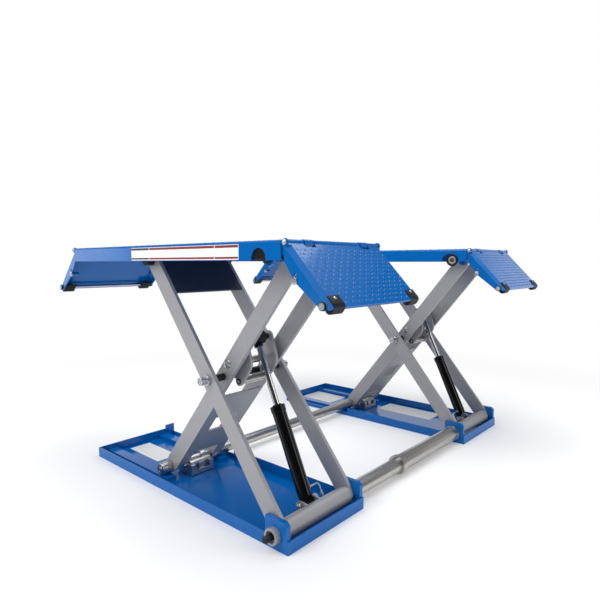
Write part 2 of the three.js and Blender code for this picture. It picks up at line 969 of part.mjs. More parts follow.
function ramp(side, end) {
  const [rollerX, rollerZ] = rampRollerPlace;
  const [stopX, stopZ] = stopRodPlace;
  const gussetInner = rampEdge - gussetThickness;
  const sides = [1, -1].map((direction) => layer(side, direction, gussetInner, rampEdge));
  const notches = sides.map(([y0, y1]) =>
    block(
      outwards(end, gussetNotchSpan),
      [y0 - overrun, y1 + overrun],
      [gussetKink[1] - overrun, gussetNotchTop],
    ),
  );
  const notched = welded(
    [
      rampDeck(side, end),
      ...sides.map((span) => gusset(end, span)),
      ...[1, -1].map((direction) => bevelBacking(side, direction, end)),
    ],
    [...notches, ...[1, -1].map((direction) => bevelCut(side, direction, end))],
  );
  const heads = [1, -1].map((direction) =>
    bar(rampPinHeadRadius, layer(side, direction, gussetInner, rampEdge + rampPinHeadLength)),
  );
  const stops = [1, -1].map((direction) => {
    const span = layer(side, direction, rampEdge - stopRodLength, rampEdge + stopRodOverhang);
    return bar(stopRodRadius, span, end * stopX, stopZ);
  });
  const pieces = [
    notched,
    ...heads,
    bar(rampPinRadius, across(side, rampEdge)),
    ...stops,
  ];
  const shaftHole = bar(
    rampShaftRadius + pivotGap,
    across(side, rampEdge + overrun),
    end * rollerX,
    rollerZ,
  );
  return welded(pieces, [shaftHole]);
}

function rampRoller(side, end) {
  const centre = side * unitCentre;
  const start = rampEdge + restGap;
  const steps = [
    [rampShaftRadius, start],
    [rampRollerRadius, start],
    [rampRollerRadius, start + rampRollerWidth],
    [0, start + rampRollerWidth],
  ];
  const low = [...steps].reverse().map(([radius, y]) => [radius, centre - y]);
  const high = steps.map(([radius, y]) => [radius, centre + y]);
  const [rollerX, rollerZ] = rampRollerPlace;
  return turned([...low, ...high]).translate(end * rollerX, 0, rollerZ);
}

// Assembly: each frame stands at its pivot, turned to the raised position

function frameAt(x, z, angle) {
  const group = new THREE.Group();
  group.position.set(x, 0, z);
  group.rotation.y = angle;
  return group;
}

const lift = new THREE.Group();
const outerFrame = frameAt(middleX, middleZ, armAngle);
const innerFrame = frameAt(middleX, middleZ, -armAngle);
const cylinders = frameAt(...lowerEyePlace, -cylinderAngle);
const shoes = frameAt(rearPivotX, lowerPivotZ, 0);
lift.add(outerFrame, innerFrame, cylinders, shoes);

outerFrame.add(named("torsion_tube", torsionTube(), "brightSteel"));
outerFrame.add(named("torsion_sleeve", torsionSleeve(), "brightSteel"));
innerFrame.add(named("rear_axle", rearAxle(), "brightSteel"));

for (const [unit, side] of [["right", -1], ["left", 1]]) {
  lift.add(named(`base_tray_${unit}`, baseTray(side), "bluePaint"));
  lift.add(named(`platform_${unit}`, platform(side), "bluePaint"));
  outerFrame.add(named(`hub_tube_${unit}`, hubTube(side), "brightSteel"));
  outerFrame.add(named(`lower_cylinder_pin_${unit}`, lowerCylinderPin(side), "blackPaint"));
  outerFrame.add(named(`pivot_pin_${unit}`, pivotPin(side), "blackPaint"));
  outerFrame.add(named(`pivot_bush_${unit}`, pivotBush(side), "brightSteel"));
  outerFrame.add(named(`mid_pivot_shaft_${unit}`, midShaft(side), "brightSteel"));
  outerFrame.add(named(`upper_cross_plate_${unit}`, upperCrossPlate(side), "darkSteel"));
  innerFrame.add(named(`lower_cross_plate_${unit}`, lowerCrossPlate(side), "darkSteel"));
  innerFrame.add(named(`rod_bracket_${unit}`, rodBracket(side), "darkSteel"));
  shoes.add(named(`lock_shoe_${unit}`, lockShoe(side), "brightSteel"));
  cylinders.add(named(`cylinder_barrel_${unit}`, barrel(side), "blackPaint"));
  cylinders.add(named(`piston_rod_${unit}`, pistonRod(side), "chrome"));
  cylinders.add(named(`rod_eye_${unit}`, rodEye(side), "blackPaint"));
  for (const [place, direction] of [["outboard", side], ["inboard", -side]]) {
    const which = `${place}_${unit}`;
    outerFrame.add(named(`outer_arm_${which}`, outerArm(side, direction), "armPaint"));
    innerFrame.add(named(`inner_arm_${which}`, innerArm(side, direction), "armPaint"));
    innerFrame.add(named(`base_roller_${which}`, baseRoller(side, direction), "brightSteel"));
    outerFrame.add(named(`platform_roller_${which}`, platformRoller(side, direction), "blackPaint"));
    lift.add(named(`top_pin_${which}`, topPin(side, direction), "blackPaint"));
  }
  for (const [place, end] of [["front", 1], ["rear", -1]]) {
    const hinge = frameAt(end * rampPinX, rampPinZ, end * rampDroop);
    hinge.add(named(`ramp_${place}_${unit}`, ramp(side, end), "bluePaint"));
    hinge.add(named(`ramp_roller_${place}_${unit}`, rampRoller(side, end), "blackPaint"));
    lift.add(hinge);
  }
}

export default lift;
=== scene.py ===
# %% [markdown]
# # A mid-rise scissor lift for cars
# Two scissor units stand side by side, joined by a torsion bar. Steel plate, steel tube and
# two hydraulic cylinders make up nearly all of it, so this lesson is about painted and bare
# steel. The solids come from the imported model, and this script gives them their finishes and
# adds the small pieces that the solids leave out.

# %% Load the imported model
import math

import bmesh
import bpy
from mathutils import Matrix, Vector


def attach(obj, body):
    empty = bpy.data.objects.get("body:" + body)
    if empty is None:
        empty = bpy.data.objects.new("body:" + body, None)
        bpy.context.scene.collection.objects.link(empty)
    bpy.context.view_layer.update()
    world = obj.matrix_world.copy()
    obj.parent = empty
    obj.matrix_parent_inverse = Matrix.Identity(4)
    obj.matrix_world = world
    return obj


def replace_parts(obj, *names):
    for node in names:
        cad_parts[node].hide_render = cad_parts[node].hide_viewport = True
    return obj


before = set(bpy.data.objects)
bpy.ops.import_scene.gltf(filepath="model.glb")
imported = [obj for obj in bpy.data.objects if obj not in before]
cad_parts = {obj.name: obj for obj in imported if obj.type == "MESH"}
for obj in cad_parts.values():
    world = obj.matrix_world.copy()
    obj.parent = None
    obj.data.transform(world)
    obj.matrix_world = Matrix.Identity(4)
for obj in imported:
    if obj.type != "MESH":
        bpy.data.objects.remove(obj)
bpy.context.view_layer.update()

# %% [markdown]
# ## Sizes that the finishes and small pieces share
# The real lift is drawn in millimetres and Blender works in metres, so every length below is
# written in millimetres and multiplied by one factor. The pivots are the places where the arms
# turn. They are written once here, since bolts, collars and rods are all placed from them.

# %% Shared sizes
MM = 0.001
UNITS = (("right", -1), ("left", 1))
UNIT_CENTRE = 668 * MM
PLATFORM_TOP = 1012 * MM
PLATFORM_HALF_LENGTH = 692.5 * MM
PLATFORM_HALF_WIDTH = 258 * MM
FRONT_PIVOT_X = 618.5 * MM
REAR_PIVOT_X = -118.5 * MM
LOWER_PIVOT_Z = 50 * MM
UPPER_PIVOT_Z = 956 * MM
ARM_ANGLE = math.atan2(UPPER_PIVOT_Z - LOWER_PIVOT_Z, FRONT_PIVOT_X - REAR_PIVOT_X)
MIDDLE = Vector(((FRONT_PIVOT_X + REAR_PIVOT_X) / 2, 0, (LOWER_PIVOT_Z + UPPER_PIVOT_Z) / 2))
print("arms at", round(math.degrees(ARM_ANGLE), 2), "degrees, crossing at", MIDDLE)

# %% [markdown]
# ## The camera
# The camera stands low in front of the right unit, just under the height of the platforms, and
# looks along both of them. Its place and lens were worked out from the straight edges of the
# lift, so that the solids fall on the same lines. The lens is a little wide, and a small
# vertical shift puts the lift at the right height in the frame.

# %% Set up the camera
CAMERA_PLACE = Vector((1.74441, -2.01769, 0.94072))
CAMERA_YAW = math.radians(48.28)
CAMERA_PITCH = math.radians(-3.35)
LENS = 30.109
SENSOR = 36.0
VERTICAL_SHIFT = -0.0125

camera_data = bpy.data.cameras.new("camera")
camera_data.sensor_width, camera_data.lens = SENSOR, LENS
camera_data.shift_y = VERTICAL_SHIFT
camera = bpy.data.objects.new("camera", camera_data)
camera.location = CAMERA_PLACE
level, rise = math.cos(CAMERA_PITCH), math.sin(CAMERA_PITCH)
looking = Vector((-math.cos(CAMERA_YAW) * level, math.sin(CAMERA_YAW) * level, rise))
camera.rotation_euler = looking.to_track_quat("-Z", "Y").to_euler()
bpy.context.scene.collection.objects.link(camera)
bpy.context.scene.camera = camera
bpy.context.scene.view_settings.view_transform = "Standard"
print("camera looks along", tuple(round(value, 3) for value in looking))

# %% [markdown]
# ## Colours, nodes and finishes
# Paint charts give colours as sRGB hex values, but a shader works with linear light, so one
# function turns one into the other. A second small function adds a node to a material, with
# its settings and its links. All the finishes end alike: one pattern mixes two close colours,
# a pattern makes the surface more or less dull, and a pattern raises small bumps. A third
# function adds these ends, so each finish states only its own patterns and numbers.

# %% Helpers for colours and nodes
NOISE = "ShaderNodeTexNoise"


def linear(hex_colour):
    """The linear colour of an sRGB hex value."""
    channels = [int(hex_colour[i:i + 2], 16) / 255 for i in (1, 3, 5)]
    return [c / 12.92 if c <= 0.04045 else ((c + 0.055) / 1.055) ** 2.4 for c in channels] + [1.0]


def add_node(tree, kind, inputs=None, **settings):
    """Adds one node. An input is a value, an output, or a node whose first output feeds it."""
    node = tree.nodes.new(kind)
    for name, value in settings.items():
        setattr(node, name, value)
    for name, value in (inputs or {}).items():
        if isinstance(value, bpy.types.Node):
            value = value.outputs[0]
        if isinstance(value, bpy.types.NodeSocket):
            tree.links.new(value, node.inputs[name])
        else:
            node.inputs[name].default_value = value
    return node


def spacing(millimetres):
    """The noise scale that puts one feature in so many millimetres."""
    return 1 / (millimetres * MM)


print("middle grey in linear light:", round(linear("#808080")[0], 3))

# %% How a finish starts and ends
def blank_material(name):
    """A new material with nothing in it, and its node tree."""
    material = bpy.data.materials.new(name)
    material.use_nodes = True
    material.node_tree.nodes.clear()
    return material, material.node_tree


def start_finish(name):
    """A blank material, its node tree, and the place on the piece that its patterns follow."""
    material, tree = blank_material(name)
    return material, tree, add_node(tree, "ShaderNodeTexCoord").outputs["Object"]


def end_finish(tree, settings, tint=None, dullness=None, relief=None):
    """Ends a finish. Each part is a pattern and two values: colours, roughnesses, or the
    strength and the height in mm of the bumps."""
    inputs = dict(settings)
    if tint:
        mix = {0: tint[0], 6: linear(tint[1]), 7: linear(tint[2])}
        inputs["Base Color"] = add_node(tree, "ShaderNodeMix", mix, data_type="RGBA").outputs[2]
    if dullness:
        ends = {"Value": dullness[0], "To Min": dullness[1], "To Max": dullness[2]}
        inputs["Roughness"] = add_node(tree, "ShaderNodeMapRange", ends)
    if relief:
        bumps = {"Height": relief[0], "Strength": relief[1], "Distance": relief[2] * MM}
        inputs["Normal"] = add_node(tree, "ShaderNodeBump", bumps)
    shader = add_node(tree, "ShaderNodeBsdfPrincipled", inputs)
    add_node(tree, "ShaderNodeOutputMaterial", {"Surface": shader})


print("a 4 mm pattern has the scale", spacing(4))

# %% [markdown]
# ## Studio: floor, backdrop and light
# The lift stands in a white studio. A large disc is the floor. Seen straight from the camera it
# fades into plain white away from the lift, so there is no horizon, and near the lift it is a
# pale diffuse surface that takes the soft shadow. What gloss paint mirrors is a white back wall
# up to head height, a dark gap above it, a white ceiling, a window far to the left, and a dim
# room behind the camera, which keeps the paint deep in colour. One large softbox on the left
# gives the plates their form, one overhead lights the trays, and one fills from the right.

# %% Floor
FLOOR_RADIUS = 14.0
FLOOR_CORNERS = 96
FLOOR_WHITE = "#F4F4F4"
PURE_WHITE = "#FFFFFF"
FADE_START = 1.7
FADE_END = 3.4
FLOOR_LIFT = 0.1

floor_material, tree = blank_material("white_studio_floor")
from_camera = add_node(tree, "ShaderNodeLightPath").outputs["Is Camera Ray"]
place = add_node(tree, "ShaderNodeNewGeometry").outputs["Position"]
distance = add_node(tree, "ShaderNodeVectorMath", {0: place}, operation="LENGTH")
inputs = {"Value": distance.outputs["Value"], "From Min": FADE_START, "From Max": FADE_END}
fade = add_node(tree, "ShaderNodeMapRange", inputs, interpolation_type="SMOOTHSTEP")
shown = add_node(tree, "ShaderNodeMath", {0: from_camera, 1: fade}, operation="MULTIPLY")
matt = add_node(tree, "ShaderNodeBsdfDiffuse", {"Color": linear(FLOOR_WHITE)})
lift = add_node(tree, "ShaderNodeMath", {0: from_camera, 1: FLOOR_LIFT}, operation="MULTIPLY")
glow = add_node(tree, "ShaderNodeEmission", {"Color": linear(PURE_WHITE), "Strength": lift})
lifted = add_node(tree, "ShaderNodeAddShader", {0: matt, 1: glow})
white = add_node(tree, "ShaderNodeEmission", {"Color": linear(PURE_WHITE), "Strength": 1.0})
mixed = add_node(tree, "ShaderNodeMixShader", {0: shown, 1: lifted, 2: white})
add_node(tree, "ShaderNodeOutputMaterial", {"Surface": mixed})

disc = bmesh.new()
bmesh.ops.create_circle(disc, cap_ends=True, segments=FLOOR_CORNERS, radius=FLOOR_RADIUS)
floor_mesh = bpy.data.meshes.new("studio_floor")
disc.to_mesh(floor_mesh)
disc.free()
floor_mesh.materials.append(floor_material)
floor = bpy.data.objects.new("studio_floor", floor_mesh)
bpy.context.scene.collection.objects.link(floor)
print("floor disc of", FLOOR_RADIUS, "m")

# %% World
SKY_FOR_CAMERA = 1.0
SKY_FOR_LIGHT = 0.66
SKY_DIM = 0.05
UP = (0.0, 0.0, 1.0)
# What it is, where it lies, the values of its soft edge, its brightness, how it joins the rest.
MIRRORED = (
    ("back wall", (-0.65, 0.76, 0.0), (0.1, 0.55), 1.0, "MAXIMUM"),
    ("its top", UP, (0.44, 0.32), 1.0, "MULTIPLY"),
    ("ceiling", UP, (0.5, 0.72), 1.0, "MAXIMUM"),
    ("window", (-0.92, -0.39, 0.02), (0.984, 0.998), 1.8, "MAXIMUM"),
)

world = bpy.data.worlds.new("white_studio")
bpy.context.scene.world = world
world.use_nodes = True
tree = world.node_tree
tree.nodes.clear()
path = add_node(tree, "ShaderNodeLightPath")
direction = add_node(tree, "ShaderNodeTexCoord").outputs["Generated"]

bright = 0.0
for part, aim, edge, gain, operation in MIRRORED:
    inputs = {0: direction, 1: Vector(aim).normalized()}
    nearness = add_node(tree, "ShaderNodeVectorMath", inputs, operation="DOT_PRODUCT")
    nearness = nearness.outputs["Value"]
    inputs = {"Value": nearness, "From Min": edge[0], "From Max": edge[1], "To Max": gain}
    soft = add_node(tree, "ShaderNodeMapRange", inputs, interpolation_type="SMOOTHSTEP")
    bright = add_node(tree, "ShaderNodeMath", {0: bright, 1: soft}, operation=operation)
bright = add_node(tree, "ShaderNodeMath", {0: bright, 1: SKY_DIM}, operation="MAXIMUM")
strength = SKY_FOR_LIGHT
for ray, brightness in (("Is Glossy Ray", bright), ("Is Camera Ray", SKY_FOR_CAMERA)):
    inputs = {0: path.outputs[ray], 2: strength, 3: brightness}
    strength = add_node(tree, "ShaderNodeMix", inputs, data_type="FLOAT")
sky = add_node(tree, "ShaderNodeBackground", {"Color": linear(PURE_WHITE), "Strength": strength})
add_node(tree, "ShaderNodeOutputWorld", {"Surface": sky})
print("gloss mirrors the", ", ".join(part[0] for part in MIRRORED))

# %% Softboxes
SOFTBOXES = {
    "softbox_left": ((-0.9, -4.2, 2.9), (2.6, 2.0), 85),
    "softbox_overhead": ((0.3, 0.2, 3.6), (3.0, 3.0), 62),
    "softbox_right": ((4.3, 0.9, 1.9), (1.6, 2.2), 26),
}
AIM = Vector((0, 0, 0.45))

for name, (place, size, watts) in SOFTBOXES.items():
    light_data = bpy.data.lights.new(name, "AREA")
    light_data.shape = "RECTANGLE"
    light_data.size, light_data.size_y = size
    light_data.energy = watts
    light = bpy.data.objects.new(name, light_data)
    light.location = place
    light.rotation_euler = (AIM - Vector(place)).to_track_quat("-Z", "Y").to_euler()
    bpy.context.scene.collection.objects.link(light)
print(len(SOFTBOXES), "softboxes")

# %% [markdown]
# ## Gloss blue powder coat
# The trays, platforms and ramps are bent steel sheet with a gloss polyester powder coat. Powder
# melts into a smooth skin with a slight orange peel, a few millimetres from crest to crest, and
# that peel is what breaks up the reflections of a softbox. The colour is nearly even, so a wide
# soft noise shifts it only a little, as handling and dust do.

# %% Blue powder coat
BLUE = "#0066B4"
BLUE_DEEP = "#005DA9"
POWDER_PEEL = 4.0
POWDER_CLOUD = 180.0

blue_powder_coat, tree, place = start_finish("gloss_blue_powder_coat")
cloud = add_node(tree, NOISE, {"Vector": place, "Scale": spacing(POWDER_CLOUD), "Detail": 3.0})
peel = add_node(tree, NOISE, {"Vector": place, "Scale": spacing(POWDER_PEEL), "Detail": 1.0})
end_finish(
    tree,
    {"Specular IOR Level": 0.3, "Coat Weight": 0.1, "Coat Roughness": 0.06},
    tint=(cloud, BLUE, BLUE_DEEP),
    dullness=(cloud, 0.1, 0.18),
    relief=(peel, 0.12, 0.2),
)
print("powder coat peel every", POWDER_PEEL, "mm")

# %% [markdown]
# ## Satin silver enamel
# The arms are flame-cut steel bars in a satin silver-grey enamel. Silver enamel holds fine
# aluminium flake, so it is part metal to the eye: a little brighter where it faces the light and
# grey where it turns away. The flake is far finer than a pixel, so it is drawn as a 1.5 mm
# mottle that still shows.

# %% Silver enamel
SILVER = "#A9A9AC"
SILVER_DARK = "#9A9A9E"
FLAKE = 1.5
BRUSH_CLOUD = 90.0
CLOUD_SHARE = 0.45

silver_enamel, tree, place = start_finish("satin_silver_enamel")
flake = add_node(tree, NOISE, {"Vector": place, "Scale": spacing(FLAKE), "Detail": 1.0})
cloud = add_node(tree, NOISE, {"Vector": place, "Scale": spacing(BRUSH_CLOUD), "Detail": 4.0})
both = add_node(tree, "ShaderNodeMix", {0: CLOUD_SHARE, 2: flake, 3: cloud}, data_type="FLOAT")
end_finish(
    tree,
    {"Metallic": 0.35},
    tint=(both, SILVER, SILVER_DARK),
    dullness=(cloud, 0.38, 0.5),
    relief=(flake, 0.08, 0.1),
)
print("enamel flake every", FLAKE, "mm")

# %% [markdown]
# ## Dark plate with painted shade
# The upper plates welded between the arms are drawn dark blue-grey, and this dark colour is
# painted shade: it stands in for the shade that falls on them between the arms. A slow noise
# mixes two dark tones in soft patches, and the same noise makes the patches more or less dull.

# %% Dark plate colour, painted shade
# Painted shade: both colours are darkened to stand in for the shade between the arms.
PLATE_SHADE = "#2E3544"
PLATE_SHADE_LIGHT = "#3D4553"
PLATE_SHADE_PATCH = 60.0

plate_shade_paint, tree, place = start_finish("dark_plate_with_painted_shade")
patch = add_node(tree, NOISE, {"Vector": place, "Scale": spacing(PLATE_SHADE_PATCH), "Detail": 6.0})
end_finish(
    tree,
    {"Metallic": 0.4},
    tint=(patch, PLATE_SHADE, PLATE_SHADE_LIGHT),
    dullness=(patch, 0.36, 0.58),
    relief=(patch, 0.1, 0.2),
)
# The patches vary the painted shade of the upper plates.
print("oxide patches every", PLATE_SHADE_PATCH, "mm")

# %% [markdown]
# ## Turned steel
# The torsion bar, axle and sleeves are bare steel turned on a lathe and lightly oiled. Turning
# leaves rings round the axis, and all these pieces lie along Y, so the noise is squeezed along Y
# and stretched the other two ways. Real rings are a tenth of a millimetre apart. They are drawn
# 1.2 mm apart so that they show.

# %% Turned steel
STEEL = "#CBC9C5"
STEEL_DARK = "#B3B1AD"
TURNING_RINGS = 1.2
RING_SPREAD = 40.0


def turning_rings(tree, place):
    """A noise drawn out into rings round the Y axis."""
    stretch = (spacing(RING_SPREAD), spacing(TURNING_RINGS), spacing(RING_SPREAD))
    drawn = add_node(tree, "ShaderNodeVectorMath", {0: place, 1: stretch}, operation="MULTIPLY")
    return add_node(tree, NOISE, {"Vector": drawn, "Scale": 1.0, "Detail": 2.0})


turned_steel, tree, place = start_finish("turned_bright_steel")
rings = turning_rings(tree, place)
end_finish(
    tree,
    {"Metallic": 1.0},
    tint=(rings, STEEL, STEEL_DARK),
    dullness=(rings, 0.2, 0.4),
    relief=(rings, 0.1, 0.1),
)
print("turning rings every", TURNING_RINGS, "mm")

# %% [markdown]
# ## Black-oxide steel
# The pivot pins and the small cylinder pins are black-oxide steel: a thin oiled oxide, dark and
# satin, that shows the lathe marks under it. So it has the same rings, in two near blacks.

# %% Black oxide
OXIDE_BLACK = "#202124"
OXIDE_WORN = "#34353A"

black_oxide, tree, place = start_finish("black_oxide_steel")
rings = turning_rings(tree, place)
end_finish(
    tree,
    {"Metallic": 0.6},
    tint=(rings, OXIDE_BLACK, OXIDE_WORN),
    dullness=(rings, 0.3, 0.45),
)
print("black oxide from", OXIDE_BLACK, "to", OXIDE_WORN)

# %% [markdown]
# ## Zinc-plated steel
# Bolts, nuts, hinge pins and the lock parts are zinc-plated: a bright bluish skin with fine
# spangle. Spangle is crystals side by side, so a cell pattern gives each crystal its own tint
# and dullness. That is rougher than chrome, and no two pieces look quite the same.

# %% Zinc plating
ZINC = "#C6C8CC"
ZINC_DULL = "#BCBEC2"
SPANGLE = 5.0

zinc_plate, tree, place = start_finish("zinc_plated_steel")
spangle = add_node(tree, "ShaderNodeTexVoronoi", {"Vector": place, "Scale": spacing(SPANGLE)})
cells = add_node(tree, "ShaderNodeSeparateColor", {"Color": spangle.outputs["Color"]})
end_finish(
    tree,
    {"Metallic": 1.0},
    tint=(cells.outputs["Red"], ZINC, ZINC_DULL),
    dullness=(cells.outputs["Green"], 0.28, 0.34),
)
print("zinc spangle every", SPANGLE, "mm")

# %% [markdown]
# ## Hard chrome
# The piston rods are ground and hard-chromed, the smoothest surface on the lift. What the eye
# reads is the long streak of the studio in it. A faint grind pattern, 0.8 mm from mark to mark,
# keeps the streak from looking like glass.

# %% Hard chrome
CHROME = "#D8D8DA"
GRIND = 0.8

hard_chrome, tree, place = start_finish("ground_hard_chrome")
grind = add_node(tree, NOISE, {"Vector": place, "Scale": spacing(GRIND), "Detail": 1.0})
end_finish(tree, {"Base Color": linear(CHROME), "Metallic": 1.0}, dullness=(grind, 0.05, 0.14))
print("chrome grind every", GRIND, "mm")

# %% [markdown]
# ## Gloss black enamel
# The cylinder barrels and rod ends are sprayed with gloss black enamel. Black gloss shows almost
# no colour of its own, only reflections, so the clear coat and the peel in it do the work.

# %% Black enamel
BLACK = "#040405"
BLACK_DUSTY = "#0B0C0E"
SPRAY_PEEL = 3.0
DUST_CLOUD = 45.0

black_enamel, tree, place = start_finish("gloss_black_enamel")
peel = add_node(tree, NOISE, {"Vector": place, "Scale": spacing(SPRAY_PEEL), "Detail": 1.0})
dust = add_node(tree, NOISE, {"Vector": place, "Scale": spacing(DUST_CLOUD), "Detail": 4.0})
end_finish(
    tree,
    {"Specular IOR Level": 0.22, "Coat Weight": 0.22, "Coat Roughness": 0.05},
    tint=(dust, BLACK, BLACK_DUSTY),
    dullness=(dust, 0.1, 0.22),
    relief=(peel, 0.08, 0.1),
)
print("enamel peel every", SPRAY_PEEL, "mm")

# %% [markdown]
# ## Nitrile rubber and nylon
# The ramps' bumpers are moulded nitrile rubber, and the wheels at their feet are black nylon.
# Both are moulded, so they share a fine spark-eroded grain, and one function makes them both.
# Rubber is the duller of the two, and nylon has a soft waxy shine.

# %% Rubber and nylon
RUBBER = "#0C0C0D"
NYLON = "#0A0A0C"
SCUFFED = "#171718"
MOULD_GRAIN = 1.4
SCUFF = 30.0


def moulded_black(name, colour, roughness):
    """A moulded black surface with mould grain and scuffs."""
    material, tree, place = start_finish(name)
    grain = add_node(tree, NOISE, {"Vector": place, "Scale": spacing(MOULD_GRAIN)})
    scuff = add_node(tree, NOISE, {"Vector": place, "Scale": spacing(SCUFF), "Detail": 5.0})
    end_finish(
        tree,
        {"Specular IOR Level": 0.22},
        tint=(scuff, colour, SCUFFED),
        dullness=(scuff, *roughness),
        relief=(grain, 0.25, 0.15),
    )
    return material


nitrile_rubber = moulded_black("moulded_nitrile_rubber", RUBBER, (0.38, 0.55))
black_nylon = moulded_black("moulded_black_nylon", NYLON, (0.3, 0.42))
print("mould grain every", MOULD_GRAIN, "mm")

# %% [markdown]
# ## Vinyl film
# The skirt and the trays carry strips of plain vinyl film, white with coloured borders. Film is
# smooth with a low gloss, and it follows small dips in the paint under it, so one slow noise
# soils it, dulls it and bends its reflections together.

# %% Vinyl films
FILM_DIPS = 14.0


def vinyl_film(name, colour, soiled):
    """Film of one colour, faintly soiled."""
    material, tree, place = start_finish(name)
    dips = add_node(tree, NOISE, {"Vector": place, "Scale": spacing(FILM_DIPS), "Detail": 3.0})
    end_finish(
        tree,
        {},
        tint=(dips, colour, soiled),
        dullness=(dips, 0.3, 0.42),
        relief=(dips, 0.1, 0.2),
    )
    return material


white_film = vinyl_film("white_vinyl_film", "#F4F4F2", "#E9E9E6")
red_film = vinyl_film("dark_red_vinyl_film", "#8E2A2E", "#7E2529")
charcoal_film = vinyl_film("charcoal_green_vinyl_film", "#2F3B38", "#283330")
print("three vinyl films with dips every", FILM_DIPS, "mm")

# %% [markdown]
# ## Dressing the solids
# Each solid gets the finish that its real piece has, apart from the upper cross plates, whose
# dark colour is painted shade. The solids are exact but sharp, and no real plate has a sharp
# edge, so a stack of modifiers works over each of them without touching its mesh. It welds the
# corners, melts flat triangles into whole faces, shades gentle angles smooth so that a turned
# piece looks round, and rounds every edge a little. Last, it keeps the shading of the large
# faces level right up to the rounded edges.

# %% A modifier that shades gentle angles smooth
SMOOTH_BELOW = math.radians(32)

smoothing = bpy.data.node_groups.new("smooth_gentle_angles", "GeometryNodeTree")
for way in ("INPUT", "OUTPUT"):
    smoothing.interface.new_socket("Geometry", in_out=way, socket_type="NodeSocketGeometry")
source = add_node(smoothing, "NodeGroupInput")
angle = add_node(smoothing, "GeometryNodeInputMeshEdgeAngle")
compared = {"data_type": "FLOAT", "operation": "GREATER_THAN"}
steep = add_node(smoothing, "FunctionNodeCompare", {"A": angle, "B": SMOOTH_BELOW}, **compared)
inputs = {"Geometry": source, "Shade Smooth": True}
all_smooth = add_node(smoothing, "GeometryNodeSetShadeSmooth", inputs, domain="FACE")
inputs = {"Geometry": all_smooth, "Selection": steep, "Shade Smooth": False}
sharp_edges = add_node(smoothing, "GeometryNodeSetShadeSmooth", inputs, domain="EDGE")
add_node(smoothing, "NodeGroupOutput", {0: sharp_edges})
print("smooth below", round(math.degrees(SMOOTH_BELOW)), "degrees")

# %% Give every solid its finish
EDGE_ROUND = 0.9 * MM
RAMP_EDGE_ROUND = 2.6 * MM
EDGE_STEPS = 2
EDGE_ANGLE = math.radians(38)
NORMAL_WEIGHT = 100
WELD_REACH = 0.01 * MM
FLAT_ANGLE = math.radians(0.6)

FINISHES = (
    (blue_powder_coat, "base_tray platform_right platform_left ramp_front ramp_rear"),
    (silver_enamel, "outer_arm inner_arm lower_cross_plate rod_bracket hub_tube pivot_bush"),
    # The upper cross plates take the dark plate colour, which is painted shade.
    (plate_shade_paint, "upper_cross_plate"),
    (turned_steel, "torsion_tube torsion_sleeve rear_axle base_roller"),
    (black_oxide, "mid_pivot_shaft top_pin lower_cylinder_pin pivot_pin"),
    (zinc_plate, "lock_shoe"),
    (black_nylon, "platform_roller ramp_roller"),
    (black_enamel, "cylinder_barrel rod_eye"),
    (hard_chrome, "piston_rod"),
)


def dress(solid, finish):
    """Puts a finish and rounded edges on one solid."""
    solid.data.materials.clear()
    solid.data.materials.append(finish)
    weld = solid.modifiers.new("weld", "WELD")
    weld.merge_threshold = WELD_REACH
    flat = solid.modifiers.new("whole_faces", "DECIMATE")
    flat.decimate_type = "DISSOLVE"
    flat.angle_limit = FLAT_ANGLE
    shading = solid.modifiers.new("smooth_shading", "NODES")
    shading.node_group = smoothing
    edges = solid.modifiers.new("rounded_edges", "BEVEL")
    edges.width = RAMP_EDGE_ROUND if solid.name.startswith("ramp_") else EDGE_ROUND
    edges.segments = EDGE_STEPS
    edges.limit_method = "ANGLE"
    edges.angle_limit = EDGE_ANGLE
    normals = solid.modifiers.new("level_normals", "WEIGHTED_NORMAL")
    normals.keep_sharp = True
    normals.weight = NORMAL_WEIGHT


finish_of = {kind: finish for finish, kinds in FINISHES for kind in kinds.split()}
for name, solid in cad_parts.items():
    kind = max((kind for kind in finish_of if name.startswith(kind)), key=len)
    dress(solid, finish_of[kind])
print(len(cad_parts), "solids dressed")

# %% [markdown]
# ## Tools for the small pieces
# The small pieces are of three sorts. Some are turned, so their profile is spun round an axis.
# Some are cut from plate or moulded, so an outline is given a thickness and its edges are
# rounded. Some are bent tube, so a circle is swept along a path. Each is built straight in its
# place, in a frame whose Z axis is the axis of the piece.

# %% Frames and a way to finish a piece
def frame_at(place, normal, along):
    """A frame at a place, with Z along the normal and X as near as can be to along."""
    z_axis = Vector(normal).normalized()
    x_axis = (Vector(along) - z_axis * z_axis.dot(Vector(along))).normalized()
    axes = Matrix((x_axis, z_axis.cross(x_axis), z_axis)).transposed().to_4x4()
    return Matrix.Translation(place) @ axes


def facing(place, way):
    """A frame at a place, with Z across the lift: to its left for 1, to its right for -1."""
    return frame_at(place, (0, way, 0), (1, 0, 0))


def finish_piece(name, shape, body, finish):
    """Turns a shape into a piece with a finish, riding on a body."""
    bmesh.ops.recalc_face_normals(shape, faces=shape.faces)
    mesh = bpy.data.meshes.new(name)
    shape.to_mesh(mesh)
    shape.free()
    mesh.materials.append(finish)
    piece = bpy.data.objects.new(name, mesh)
    bpy.context.scene.collection.objects.link(piece)
    piece.modifiers.new("smooth_shading", "NODES").node_group = smoothing
    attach(piece, body)
    return piece


print("a frame on the right unit:", facing((0, -UNIT_CENTRE, 0), -1).to_translation())

# %% Turned and bent shapes
PIPE_STEPS = 16
OFF_THE_PIPE = (0.12, 1, 0.31)


def polar(radius, angle):
    """The point at a radius and an angle."""
    return radius * math.cos(angle), radius * math.sin(angle)


def around(radius, count):
    """Points evenly round a circle."""
    return [polar(radius, 2 * math.pi * i / count) for i in range(count)]


def ring(shape, at, radius, height, count):
    """Corners evenly round the Z axis of a frame."""
    return [shape.verts.new(at @ Vector((x, y, height))) for x, y in around(radius, count)]


